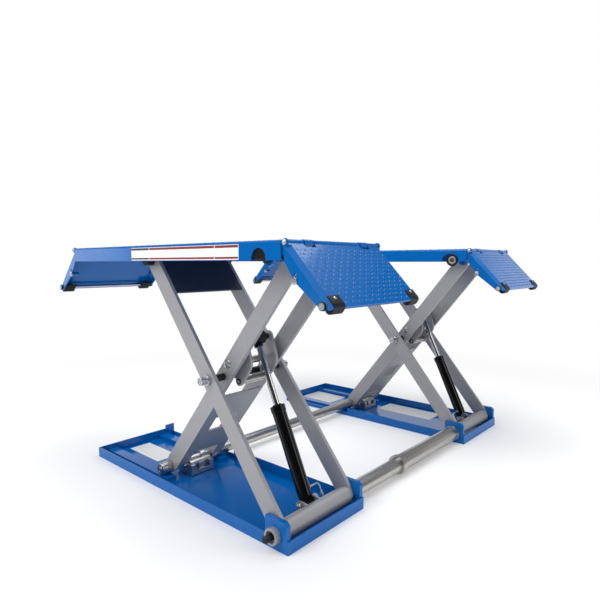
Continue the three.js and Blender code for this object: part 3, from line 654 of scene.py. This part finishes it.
def skin(shape, rings, steps):
    """Closes the bands between rings. A ring may be one corner on the axis."""
    for low, high in zip(rings, rings[1:]):
        for i in range(steps):
            corners = [low[i % len(low)], low[(i + 1) % len(low)]]
            corners += [high[(i + 1) % len(high)], high[i % len(high)]]
            corners = list(dict.fromkeys(corners))
            if len(corners) > 2:
                shape.faces.new(corners)


def turn(shape, profile, at, steps=40):
    """Spins a profile of (radius, height) in mm round the Z axis of a frame."""
    counts = [steps if radius > 0 else 1 for radius, height in profile]
    skin(shape, [ring(shape, at, r * MM, h * MM, n) for (r, h), n in zip(profile, counts)], steps)


def turn_rod(shape, radius, half_length, at):
    """A plain rod, with its middle on a frame. Both sizes are in mm."""
    low, high = -half_length, half_length
    turn(shape, [(0, low), (radius, low), (radius, high), (0, high)], at)


def bend(shape, points, radius):
    """Sweeps a circle along a path of points, and closes its two ends."""
    rings = []
    for i, point in enumerate(points):
        before, after = points[max(i - 1, 0)], points[min(i + 1, len(points) - 1)]
        at = frame_at(point, after - before, OFF_THE_PIPE)
        rings.append(ring(shape, at, radius, 0, PIPE_STEPS))
    skin(shape, rings, PIPE_STEPS)
    shape.faces.new(rings[0][::-1])
    shape.faces.new(rings[-1])


print("a hexagon has", len(around(1, 6)), "corners")

# %% Cut shapes
def cut(shape, outline, low, high, at, rounding=0.0):
    """Gives an outline a thickness along the Z axis of a frame, and rounds its edges."""
    bottom = [shape.verts.new(at @ Vector((x, y, low))) for x, y in outline]
    top = [shape.verts.new(at @ Vector((x, y, high))) for x, y in outline]
    faces = [shape.faces.new(bottom[::-1]), shape.faces.new(top)]
    for i in range(len(outline)):
        j = (i + 1) % len(outline)
        faces.append(shape.faces.new((bottom[i], bottom[j], top[j], top[i])))
    if rounding:
        edges = list({edge for face in faces for edge in face.edges})
        rounded = {"offset": rounding, "segments": EDGE_STEPS, "profile": 0.5}
        bmesh.ops.bevel(shape, geom=edges, affect="EDGES", **rounded)


def rounded_box(half_x, half_y, corner, steps=4):
    """The outline of a rectangle with round corners."""
    points = []
    for quarter, (sx, sy) in enumerate(((1, 1), (-1, 1), (-1, -1), (1, -1))):
        for i in range(steps + 1):
            x, y = polar(corner, math.pi / 2 * (quarter + i / steps))
            points.append((sx * (half_x - corner) + x, sy * (half_y - corner) + y))
    return points


print("outline of a rounded box:", len(rounded_box(1, 1, 0.2)), "points")

# %% [markdown]
# ## Frames on the moving parts
# A ramp hangs from its hinge, an arm leans at the lift's angle, and a cylinder points from its
# lower eye to its upper one. Pieces on them are easier to place in the part's own directions.

# %% Frames on ramps, arms and cylinders
RAMP_DROOP = math.radians(47)
RAMP_HINGE_X = 705 * MM
RAMP_HINGE_Z = 1004 * MM
ENDS = (("front", 1), ("rear", -1))
RAMPS = [(f"{place}_{unit}", side, end) for unit, side in UNITS for place, end in ENDS]
LOWER_EYE = Vector((575.219, 0, 71.512)) * MM
UPPER_EYE = Vector((308.972, 0, 648.39)) * MM
CYLINDER_WAY = (UPPER_EYE - LOWER_EYE).normalized()


def ramp_frame(side, end):
    """X runs down the ramp, Z stands on its deck, and the origin is the hinge."""
    place = (end * RAMP_HINGE_X, side * UNIT_CENTRE, RAMP_HINGE_Z)
    run, drop = polar(1, RAMP_DROOP)
    return frame_at(place, (end * drop, 0, run), (end * run, 0, -drop))


def inner_arm_point(along, aside, across):
    """A point by an inner arm: along it from the middle pivot, aside from it, across in Y."""
    run, rise = polar(1, ARM_ANGLE)
    return MIDDLE + Vector((along * run - aside * rise, across, along * rise + aside * run))


def on_unit(point, side, across=0.0):
    """A point of the side view set on a unit's centre line, then moved across in Y."""
    return point + Vector((0, side * UNIT_CENTRE + across, 0))


def cylinder_point(side, along, across=0.0):
    """A point by a cylinder: along it from the lower eye, and across in Y."""
    return on_unit(LOWER_EYE + CYLINDER_WAY * along, side, across)


print("cylinders", round((UPPER_EYE - LOWER_EYE).length / MM), "mm from eye to eye")

# %% [markdown]
# ## Tread on the decks
# The ramps and platforms are tear-plate: rolled sheet with raised lozenges that lean one way and
# then the other, so a tyre grips in both directions. Each lozenge is real geometry, 1.2 mm high,
# because it catches the light from every side. A bump would vanish at the edge of the deck.

# %% Tread lozenges
TREAD_LENGTH = 0.84
TREAD_WIDTH = 0.28
TREAD_HEIGHT = 1.2 * MM
TREAD_ROOT = 0.3 * MM
TREAD_LEAN = math.radians(45)
LOZENGE_FOOT = [(0.5, 0), (0.28, 0.5), (-0.28, 0.5), (-0.5, 0), (-0.28, -0.5), (0.28, -0.5)]
LOZENGE_CREST = [(0.24, 0.12), (-0.24, 0.12), (-0.24, -0.12), (0.24, -0.12)]


def lozenge(shape, at, x, y, pitch, lean):
    """One raised lozenge with a short ridge, leaning left or right."""
    def point(u, v, height):
        u, v = u * TREAD_LENGTH * pitch, v * TREAD_WIDTH * pitch
        run, rise = polar(1, lean)
        turned = (u * run - v * rise, u * rise + v * run)
        return shape.verts.new(at @ Vector((x + turned[0], y + turned[1], height)))

    foot = [point(u, v, -TREAD_ROOT) for u, v in LOZENGE_FOOT]
    top = [point(u, v, TREAD_HEIGHT) for u, v in LOZENGE_CREST]
    shape.faces.new(foot[::-1])
    shape.faces.new(top)
    for first, second, crest in ((0, 1, 0), (2, 3, 1), (3, 4, 2), (5, 0, 3)):
        shape.faces.new((foot[first], foot[second], top[crest]))
    shape.faces.new((foot[1], foot[2], top[1], top[0]))
    shape.faces.new((foot[4], foot[5], top[3], top[2]))
    shape.faces.new((foot[0], top[0], top[3]))
    shape.faces.new((foot[3], top[2], top[1]))


def tread(shape, at, span_x, span_y, pitch, bare=None):
    """Rows of lozenges over a rectangle, apart from where the deck is bare."""
    columns = int((span_x[1] - span_x[0]) / pitch)
    rows = int((span_y[1] - span_y[0]) / pitch)
    for i in range(columns + 1):
        for j in range(rows + 1):
            x = span_x[0] + (span_x[1] - span_x[0]) * i / columns
            y = span_y[0] + (span_y[1] - span_y[0]) * j / rows
            if not (bare and bare(x, y)):
                lozenge(shape, at, x, y, pitch, -TREAD_LEAN if (i + j) % 2 else TREAD_LEAN)


print("lozenges", round(TREAD_HEIGHT / MM, 1), "mm high")

# %% Tread on ramps and platforms
RAMP_TREAD_PITCH = 17 * MM
RAMP_TREAD_X = (34 * MM, 246 * MM)
RAMP_TREAD_Y = (-227 * MM, 227 * MM)
RAMP_DECK_RISE = 4 * MM
BUMPER_CENTRE = 215 * MM
BUMPER_HALF_WIDTH = 26 * MM
BUMPER_TOP = 219 * MM
PLATFORM_TREAD_PITCH = 23 * MM


def under_bumper(x, y):
    """Whether a lozenge here would touch one of the ramp's two bumpers."""
    margin = RAMP_TREAD_PITCH / 2
    return x > BUMPER_TOP - margin and abs(abs(y) - BUMPER_CENTRE) < BUMPER_HALF_WIDTH + margin


reach_x = PLATFORM_HALF_LENGTH - PLATFORM_TREAD_PITCH
reach_y = PLATFORM_HALF_WIDTH - PLATFORM_TREAD_PITCH
for unit, side in UNITS:
    for place, end in ENDS:
        shape = bmesh.new()
        deck = ramp_frame(side, end) @ Matrix.Translation((0, 0, RAMP_DECK_RISE))
        tread(shape, deck, RAMP_TREAD_X, RAMP_TREAD_Y, RAMP_TREAD_PITCH, under_bumper)
        ramp = f"{place}_{unit}"
        finish_piece(f"ramp_tread_{ramp}", shape, f"ramp_{ramp}", blue_powder_coat)
    shape = bmesh.new()
    deck = frame_at((0, side * UNIT_CENTRE, PLATFORM_TOP), (0, 0, 1), (1, 0, 0))
    tread(shape, deck, (-reach_x, reach_x), (-reach_y, reach_y), PLATFORM_TREAD_PITCH)
    body = f"platform_deck_{unit}"
    finish_piece(f"platform_tread_{unit}", shape, body, blue_powder_coat)
print("tread", round(RAMP_TREAD_PITCH / MM), "and", round(PLATFORM_TREAD_PITCH / MM), "mm apart")

# %% [markdown]
# ## Rubber bumpers on the ramps
# Each ramp's lower edge has two moulded rubber bumpers that keep the steel off the floor. A
# bumper is a hook: it lies on the deck, wraps the round nose and runs back under the wheels'
# shaft, and one screw holds it. The hook is an outline given its width, with rounded edges.

# %% Bumpers and their screws
NOSE = (254, -4)
NOSE_RADIUS = 8.1
BUMPER_RISE = 7.5 * MM
BUMPER_LOW = -29.5 * MM
BUMPER_BENDS = (
    ((249, 1.5), 6.0, (90, 75)),
    ((259.4, 1.4), 3.4, (75, 14.6)),
    ((253.5, -16), 13.5, (14.6, -90)),
)
BUMPER_UNDER = 212 * MM
BUMPER_LEG = 4.7 * MM
BUMPER_HOLLOW = 244.4 * MM
BUMPER_SCREW_X = 229 * MM
ARC_STEPS = 7
SCREW_HEAD = [
    (0, -1), (5.6, -1), (5.6, 0.3), (5.0, 1.6), (3.4, 2.5), (1.9, 2.8), (1.9, 1.4), (0, 1.2),
]


def arc(centre, radius, start, stop):
    """Points in metres round part of a circle in mm, from one angle in degrees to another."""
    angles = [start + (stop - start) * i / ARC_STEPS for i in range(ARC_STEPS + 1)]
    points = [polar(radius, math.radians(angle)) for angle in angles]
    return [((centre[0] + x) * MM, (centre[1] + y) * MM) for x, y in points]


def bumper_outline():
    """The hook's outline: X down the ramp, Y up from the hinge line."""
    outer = [point for centre, radius, span in BUMPER_BENDS for point in arc(centre, radius, *span)]
    inner = arc(NOSE, NOSE_RADIUS, -90, 90)
    foot = [(BUMPER_UNDER, BUMPER_LOW), (BUMPER_UNDER, BUMPER_LOW + BUMPER_LEG)]
    foot += [(BUMPER_HOLLOW, BUMPER_LOW + BUMPER_LEG), (BUMPER_HOLLOW, inner[0][1])]
    return [(BUMPER_TOP, BUMPER_RISE)] + outer + foot + inner + [(BUMPER_TOP, inner[-1][1])]


for ramp, side, end in RAMPS:
    deck = ramp_frame(side, end)
    rubber, screws = bmesh.new(), bmesh.new()
    for y in (-BUMPER_CENTRE, BUMPER_CENTRE):
        upright = deck @ facing((0, y, 0), -1)
        width = (-BUMPER_HALF_WIDTH, BUMPER_HALF_WIDTH)
        cut(rubber, bumper_outline(), *width, upright, rounding=0.8 * MM)
        head = deck @ Matrix.Translation((BUMPER_SCREW_X, y, BUMPER_RISE))
        turn(screws, SCREW_HEAD, head, steps=24)
    body = f"ramp_{ramp}"
    finish_piece(f"ramp_bumpers_{ramp}", rubber, body, nitrile_rubber)
    finish_piece(f"bumper_screws_{ramp}", screws, body, zinc_plate)
print("bumpers", round(2 * BUMPER_HALF_WIDTH / MM), "mm wide")

# %% [markdown]
# ## Hinge pins, stop pegs and nylon wheels
# The ends of a ramp's hinge pin are zinc-plated buttons on the outside of the side plates, and
# the stop pegs below it have plated caps. At the foot, a black nylon wheel turns on each end of
# a steel shaft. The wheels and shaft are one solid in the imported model, so here two pieces stand
# for it, which lets the nylon and the steel differ.

# %% Ramp hardware
RAMP_HALF_WIDTH = 252 * MM
STOP_PEG = (112 * MM, -50 * MM)
WHEEL_PLACE = (237 * MM, -18 * MM)
SHAFT_RADIUS = 5.9
SHAFT_HALF_LENGTH = 249
PIN_BUTTON = [
    (0, 3.5), (8.8, 3.5), (8.8, 5.2), (7.6, 6.0), (6.4, 6.2), (6.0, 7.6), (4.2, 8.5), (0, 8.8),
]
PEG_CAP = [(0, -1), (11.4, -1), (11.4, 3.4), (10.4, 4.4), (6.0, 4.8), (5.0, 3.8), (0, 3.8)]
WHEEL = [
    (6.3, 0.5), (12.4, 0.5), (13.0, 1.1), (13.0, 6.9), (12.4, 7.5), (6.3, 7.5), (6.3, 0.5),
]
WHEEL_SHAFT_END = [
    (SHAFT_RADIUS, -3), (SHAFT_RADIUS, 7.5), (10.8, 7.5), (10.8, 8.4),
    (5.6, 8.5), (5.0, 9.1), (2.4, 9.1), (0, 8.2),
]

for ramp, side, end in RAMPS:
    deck = ramp_frame(side, end)
    buttons, tyres, shaft = bmesh.new(), bmesh.new(), bmesh.new()
    for out in (-1, 1):
        y = out * RAMP_HALF_WIDTH
        wheel = deck @ facing((WHEEL_PLACE[0], y, WHEEL_PLACE[1]), out)
        turn(buttons, PIN_BUTTON, deck @ facing((0, y, 0), out), steps=28)
        turn(buttons, PEG_CAP, deck @ facing((STOP_PEG[0], y, STOP_PEG[1]), out), steps=28)
        turn(tyres, WHEEL, wheel, steps=36)
        turn(shaft, WHEEL_SHAFT_END, wheel, steps=28)
    middle = deck @ facing((WHEEL_PLACE[0], 0, WHEEL_PLACE[1]), 1)
    turn_rod(shaft, SHAFT_RADIUS, SHAFT_HALF_LENGTH, middle)
    wheels = f"ramp_wheels_{ramp}"
    finish_piece(f"hinge_buttons_{ramp}", buttons, f"ramp_{ramp}", zinc_plate)
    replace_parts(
        finish_piece(f"nylon_wheels_{ramp}", tyres, wheels, black_nylon),
        f"ramp_roller_{ramp}",
    )
    finish_piece(f"wheel_shaft_{ramp}", shaft, wheels, zinc_plate)
print("ramp hardware on", len(RAMPS), "ramps")

# %% [markdown]
# ## Vinyl film on the skirts and trays
# Plain strips of film lie on the platforms' outer skirts and on the tray floors. The skirt's is
# white with borders, charcoal over the first part and dark red over the rest. It could be drawn
# in the skirt's paint, but film is a quarter of a millimetre thick, and as thin solids the
# strips have an edge that catches a little light.

# %% Skirt strips
FILM = 0.25 * MM
STRIP_MIDDLE = (169, 977)
STRIP_SIZE = (667, 51)
STRIP_PARTS = (
    ("charcoal", charcoal_film, -99, 131),
    ("red", red_film, 173.5, 406),
    ("red_end", red_film, 440.25, 119.5),
)
BORDERS = ((958.25, 6.5), (996.25, 8.5))
FILM_CORNER = 3 * MM
BORDER_CORNER = 0.6 * MM


def lay_film(shape, at, middle, size, corner, steps=4):
    """A rectangle of film with round corners. Its middle and size are in mm."""
    outline = rounded_box(size[0] / 2 * MM, size[1] / 2 * MM, corner, steps)
    cut(shape, outline, 0, FILM, at @ Matrix.Translation((middle[0] * MM, middle[1] * MM, 0)))


for unit, side in UNITS:
    body = f"platform_deck_{unit}"
    place = (0, side * (UNIT_CENTRE + PLATFORM_HALF_WIDTH), 0)
    skirt = frame_at(place, (0, side, 0), (-side, 0, 0))
    shape = bmesh.new()
    lay_film(shape, skirt, (-side * STRIP_MIDDLE[0], STRIP_MIDDLE[1]), STRIP_SIZE, FILM_CORNER)
    finish_piece(f"skirt_film_{unit}", shape, body, white_film)
    over = skirt @ Matrix.Translation((0, 0, FILM))
    for label, colour, middle, length in STRIP_PARTS:
        shape = bmesh.new()
        for height, width in BORDERS:
            size = (length, width)
            lay_film(shape, over, (-side * middle, height), size, BORDER_CORNER, steps=2)
        finish_piece(f"skirt_border_{label}_{unit}", shape, body, colour)
print("skirt strips", STRIP_SIZE[0], "mm long")

# %% Tray films
TRAY_FLOOR = 5 * MM
TRAY_FILM_CORNER = 6 * MM
TRAY_FILMS = {
    "tray_film_right": ((-427, -677), (250, 110)),
    "tray_film_front_left": ((175, 775), (360, 150)),
    "tray_film_rear_left": ((-441.5, 671), (247, 210)),
}

for name, (middle, size) in TRAY_FILMS.items():
    shape = bmesh.new()
    lay_film(shape, Matrix.Translation((0, 0, TRAY_FLOOR)), middle, size, TRAY_FILM_CORNER)
    finish_piece(name, shape, "base", white_film)
print(len(TRAY_FILMS), "films on the tray floors")

# %% [markdown]
# ## Cross tubes and arm bolts
# Two bright tubes tie the inner arms together through the cylinder's bracket. The bracket and
# its tubes are one solid, in the arms' silver enamel, so a thin bright sleeve goes over each
# tube. The upper tube runs from arm to arm, and shows outside as a plated boss. The lower one
# ties the two cheeks, and ends in a bolt inside a blackened ring.

# %% Tubes and bolts of the inner arms
HIGH_TUBE = (56 * MM, 14 * MM)
LOW_TUBE = (10 * MM, -44 * MM)
TUBES = (("high", HIGH_TUBE, 101.4), ("low", LOW_TUBE, 61.8))
TUBE_RADIUS = 14.4
CHEEK_OUTER = 74 * MM
ARM_OUTER = 118 * MM
ARM_BOSS = [
    (0, -1), (18, -1), (18, 2.2), (16.6, 3.4), (13.4, 3.6), (12.4, 6.4), (8.2, 8.0),
    (3.0, 8.6), (0, 8.6),
]
TUBE_RING = [
    (6.8, -0.4), (11.5, -0.4), (11.5, 3.2), (10.2, 4.4), (7.8, 4.4), (6.8, 3.2), (6.8, -0.4),
]
TUBE_BOLT = [(0, -0.4), (6.6, -0.4), (6.6, 2.6), (5.2, 3.8), (0, 4.0)]

for unit, side in UNITS:
    centre = side * UNIT_CENTRE
    for label, tube, half_length in TUBES:
        shape = bmesh.new()
        turn_rod(shape, TUBE_RADIUS, half_length, facing(inner_arm_point(*tube, centre), 1))
        name = f"cross_tube_{label}_{unit}"
        finish_piece(name, shape, "inner_arms", turned_steel)
    bolts, rings = bmesh.new(), bmesh.new()
    for out in (-1, 1):
        arm_side = facing(inner_arm_point(*HIGH_TUBE, centre + out * ARM_OUTER), out)
        cheek_side = facing(inner_arm_point(*LOW_TUBE, centre + out * CHEEK_OUTER), out)
        turn(bolts, ARM_BOSS, arm_side, steps=32)
        turn(bolts, TUBE_BOLT, cheek_side, steps=32)
        turn(rings, TUBE_RING, cheek_side, steps=32)
    finish_piece(f"arm_bolts_{unit}", bolts, "inner_arms", zinc_plate)
    finish_piece(f"cheek_rings_{unit}", rings, "inner_arms", black_oxide)
print("two cross tubes and four bolts a unit")

# %% [markdown]
# ## Middle pivots
# The shaft through the crossing arms is blackened between them, and ends outside in a plated
# collar and a long nut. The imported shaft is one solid, in the dark finish, so a plated sleeve
# goes over each end, with a shallow socket in its face.

# %% Plated ends of the middle shafts
OUTER_ARM_FACE = 192.6 * MM
NUT_END = 38.4
SOCKET_FLOOR = 36
PLATED_END = [
    (0, -0.1), (19.5, -0.1), (20.3, 0.8), (20.3, 9.6), (19.4, 10.5), (15.3, 10.6), (15.3, 37.2),
    (14.2, NUT_END), (9.6, NUT_END), (8.8, SOCKET_FLOOR), (5, SOCKET_FLOOR), (4.2, 37.4), (0, 37.4),
]

for unit, side in UNITS:
    shape = bmesh.new()
    for out in (-1, 1):
        arm_face = facing(on_unit(MIDDLE, side, out * OUTER_ARM_FACE), out)
        turn(shape, PLATED_END, arm_face, steps=36)
    finish_piece(f"mid_pivot_ends_{unit}", shape, "outer_arms", zinc_plate)
print("plated ends", NUT_END, "mm long")

# %% [markdown]
# ## Cylinder fittings
# At its upper end the rod carries a ribbed black drum over its eye. At the gland a black wiper
# ring hugs the rod. Near the barrel's foot, on the side that faces the other unit, a plated nut
# holds the chromed oil pipe, which bends down to a second nut beside the pin's ear.

# %% Ribbed rod drum and wiper ring
DRUM_RIBS = 26
DRUM_RADII = (26.1 * MM, 27.6 * MM)
DRUM_HALF = 33 * MM
BARREL_TOP = 360 * MM
WIPER = [
    (12.9, -0.5), (18.6, -0.5), (18.6, 2.6), (16.4, 4.4), (13.6, 4.4), (12.9, 3.6), (12.9, -0.5),
]

outline = [polar(DRUM_RADII[i % 2], math.pi * i / DRUM_RIBS) for i in range(2 * DRUM_RIBS)]
for unit, side in UNITS:
    shape = bmesh.new()
    eye = facing(on_unit(UPPER_EYE, side), 1)
    cut(shape, outline, -DRUM_HALF, DRUM_HALF, eye, rounding=0.5 * MM)
    finish_piece(f"rod_drum_{unit}", shape, f"rod_{unit}", black_nylon)
    shape = bmesh.new()
    gland = frame_at(cylinder_point(side, BARREL_TOP), CYLINDER_WAY, (0, 1, 0))
    turn(shape, WIPER, gland)
    finish_piece(f"wiper_ring_{unit}", shape, f"barrel_{unit}", black_nylon)
print("drum with", DRUM_RIBS, "ribs")

# %% Oil pipe and its nuts
PORT_ALONG = 42 * MM
PORT_OUT = 24 * MM
PIPE_OUT = 86 * MM
PIPE_FOOT = -8 * MM
PIPE_GRIP = 6 * MM
PIPE_BEND = 11 * MM
PIPE_BEND_STEPS = 6
PIPE_RADIUS = 3.2 * MM
PORT_NUT_CORNER, PORT_NUT_LENGTH = 8 * MM, 9 * MM
FOOT_NUT_CORNER, FOOT_NUT_LENGTH = 6.6 * MM, 16 * MM
FOOT_COLLAR = [(0, 16), (5.2, 16), (5.2, 22), (4.2, 24), (0, 24)]

for unit, side in UNITS:
    inward = -side
    body = f"barrel_{unit}"
    path = [cylinder_point(side, PORT_ALONG, inward * (PORT_OUT + PIPE_GRIP))]
    for i in range(PIPE_BEND_STEPS + 1):
        rise, run = polar(PIPE_BEND, math.pi / 2 * i / PIPE_BEND_STEPS)
        along, across = PORT_ALONG - PIPE_BEND + rise, PIPE_OUT - PIPE_BEND + run
        path.append(cylinder_point(side, along, inward * across))
    path.append(cylinder_point(side, PIPE_FOOT, inward * PIPE_OUT))
    shape = bmesh.new()
    bend(shape, path, PIPE_RADIUS)
    finish_piece(f"oil_pipe_{unit}", shape, body, hard_chrome)
    shape = bmesh.new()
    port = facing(cylinder_point(side, PORT_ALONG, inward * PORT_OUT), inward)
    foot_place = cylinder_point(side, PIPE_FOOT - PIPE_GRIP, inward * PIPE_OUT)
    foot = frame_at(foot_place, CYLINDER_WAY, (0, 1, 0))
    cut(shape, around(PORT_NUT_CORNER, 6), 0, PORT_NUT_LENGTH, port, rounding=0.6 * MM)
    cut(shape, around(FOOT_NUT_CORNER, 6), 0, FOOT_NUT_LENGTH, foot, rounding=0.6 * MM)
    turn(shape, FOOT_COLLAR, foot, steps=24)
    finish_piece(f"pipe_nuts_{unit}", shape, body, zinc_plate)
print("oil pipe of", round(2 * PIPE_RADIUS / MM, 1), "mm")

# %% [markdown]
# ## Front pins and rear wheels
# The front pivot pin's end has a chamfer and a centre drilled for the lathe. The cylinder's
# lower pin has a thread at each end, and a plated nut on each thread holds it in its two ears.
# The rear rollers show a washer and a nut in their ends.

# %% Pin ends and roller ends
PIN_END_Y = 257 * MM
PIN_END = [(0, -0.4), (12.7, -0.4), (12.7, 0.4), (10.9, 2.2), (3.2, 2.2), (0, -0.2)]
EAR_FACE_Y = 40.1 * MM
PIN_NUT_CORNER, PIN_NUT_LENGTH = 13.4 * MM, 12 * MM
PIN_THREAD = [(0, 11), (7, 11), (7, 16), (6, 17), (0, 17)]
ROLLER_END_Y = 160.5 * MM
ROLLER_END = [
    (0, 0), (24.2, 0), (24.9, 0.7), (24.9, 5.2), (23.9, 6.4), (14.0, 6.6), (13.0, 5.6),
    (12.2, 5.6), (11.4, 7.6), (8.2, 8.2), (7.2, 5.0), (0, 5.0),
]
ROLLER_NUT_CORNER = 8.4 * MM
ROLLER_NUT_SPAN = (4 * MM, 9.6 * MM)

for unit, side in UNITS:
    shape = bmesh.new()
    place = (FRONT_PIVOT_X, side * (UNIT_CENTRE + PIN_END_Y), LOWER_PIVOT_Z)
    turn(shape, PIN_END, facing(place, side), steps=32)
    finish_piece(f"pin_end_{unit}", shape, "outer_arms", black_oxide)
    shape = bmesh.new()
    for out in (-1, 1):
        ear = facing(on_unit(LOWER_EYE, side, out * EAR_FACE_Y), out)
        cut(shape, around(PIN_NUT_CORNER, 6), 0, PIN_NUT_LENGTH, ear, rounding=0.9 * MM)
        turn(shape, PIN_THREAD, ear, steps=24)
    finish_piece(f"cylinder_pin_nuts_{unit}", shape, "outer_arms", zinc_plate)
    shape, nut = bmesh.new(), bmesh.new()
    roller = facing((REAR_PIVOT_X, side * (UNIT_CENTRE + ROLLER_END_Y), LOWER_PIVOT_Z), side)
    turn(shape, ROLLER_END, roller, steps=48)
    cut(nut, around(ROLLER_NUT_CORNER, 6), *ROLLER_NUT_SPAN, roller, rounding=0.8 * MM)
    finish_piece(f"roller_end_{unit}", shape, "inner_arms", zinc_plate)
    finish_piece(f"roller_nut_{unit}", nut, "inner_arms", zinc_plate)
print("pin and roller ends")

# %% [markdown]
# ## Guards over the platform pivots
# Seen through the half-round notch in the outer skirt, the inner arm's top pin is covered by a
# black moulded guard with a flat foot. On the inner side a round black cap with a bronze bush in
# its middle sits over the notch. Both are clipped to the skirt. Bearing bronze is oily and
# darkens in soft clouds, so a noise mixes a warm brown and a dull one.

# %% Oiled bronze
BRONZE = "#8C6A48"
BRONZE_DULL = "#5E4632"
BUSH_CLOUD = 12.0

bronze, tree, place = start_finish("oiled_bearing_bronze")
clouds = add_node(tree, NOISE, {"Vector": place, "Scale": spacing(BUSH_CLOUD)})
end_finish(tree, {"Metallic": 1.0, "Roughness": 0.34}, tint=(clouds, BRONZE, BRONZE_DULL))
print("bronze mottled every", BUSH_CLOUD, "mm")

# %% Guards and caps
GUARD_X = 600 * MM
GUARD_FOOT = -5 * MM
GUARD_RADIUS = 39 * MM
GUARD_STEPS = 24
GUARD_SPAN = (249.7 * MM, 252.6 * MM)
CAP_FROM = 258.2 * MM
CAP = [(20, 0), (31.5, 0), (31.5, 2.6), (29.6, 4.4), (22.4, 4.4), (20, 3.2), (20, 0)]
CAP_WASHER = [(12.4, 0), (19.8, 0), (19.8, 2.2), (18.6, 3), (13.4, 3), (12.4, 2.2), (12.4, 0)]
BUSH = [(0, 0), (12.2, 0), (12.2, 2), (11.2, 2.8), (6.4, 2.8), (5.6, 1.2), (0, 1.2)]
CAP_PIECES = {
    "pivot_cap": (CAP, black_nylon, "black_polymer"),
    "pivot_cap_washer": (CAP_WASHER, zinc_plate, "bright_steel"),
    "pivot_bush_face": (BUSH, bronze, "bright_steel"),
}

reach = math.acos(GUARD_FOOT / GUARD_RADIUS)
angles = [math.pi / 2 + reach * (2 * i / GUARD_STEPS - 1) for i in range(GUARD_STEPS + 1)]
outline = [polar(GUARD_RADIUS, angle) for angle in angles]
for unit, side in UNITS:
    body = f"platform_deck_{unit}"
    shape = bmesh.new()
    place = (GUARD_X, side * UNIT_CENTRE, UPPER_PIVOT_Z)
    upright = frame_at(place, (0, side, 0), (-side, 0, 0))
    cut(shape, outline, *GUARD_SPAN, upright, rounding=0.9 * MM)
    finish_piece(f"pivot_guard_{unit}", shape, body, black_nylon)
    inner = facing((FRONT_PIVOT_X, side * (UNIT_CENTRE - CAP_FROM), UPPER_PIVOT_Z), -side)
    for name, (profile, finish, slot) in CAP_PIECES.items():
        shape = bmesh.new()
        turn(shape, profile, inner)
        finish_piece(f"{name}_{unit}", shape, body, finish)
print("guards of", round(GUARD_RADIUS / MM), "mm radius")
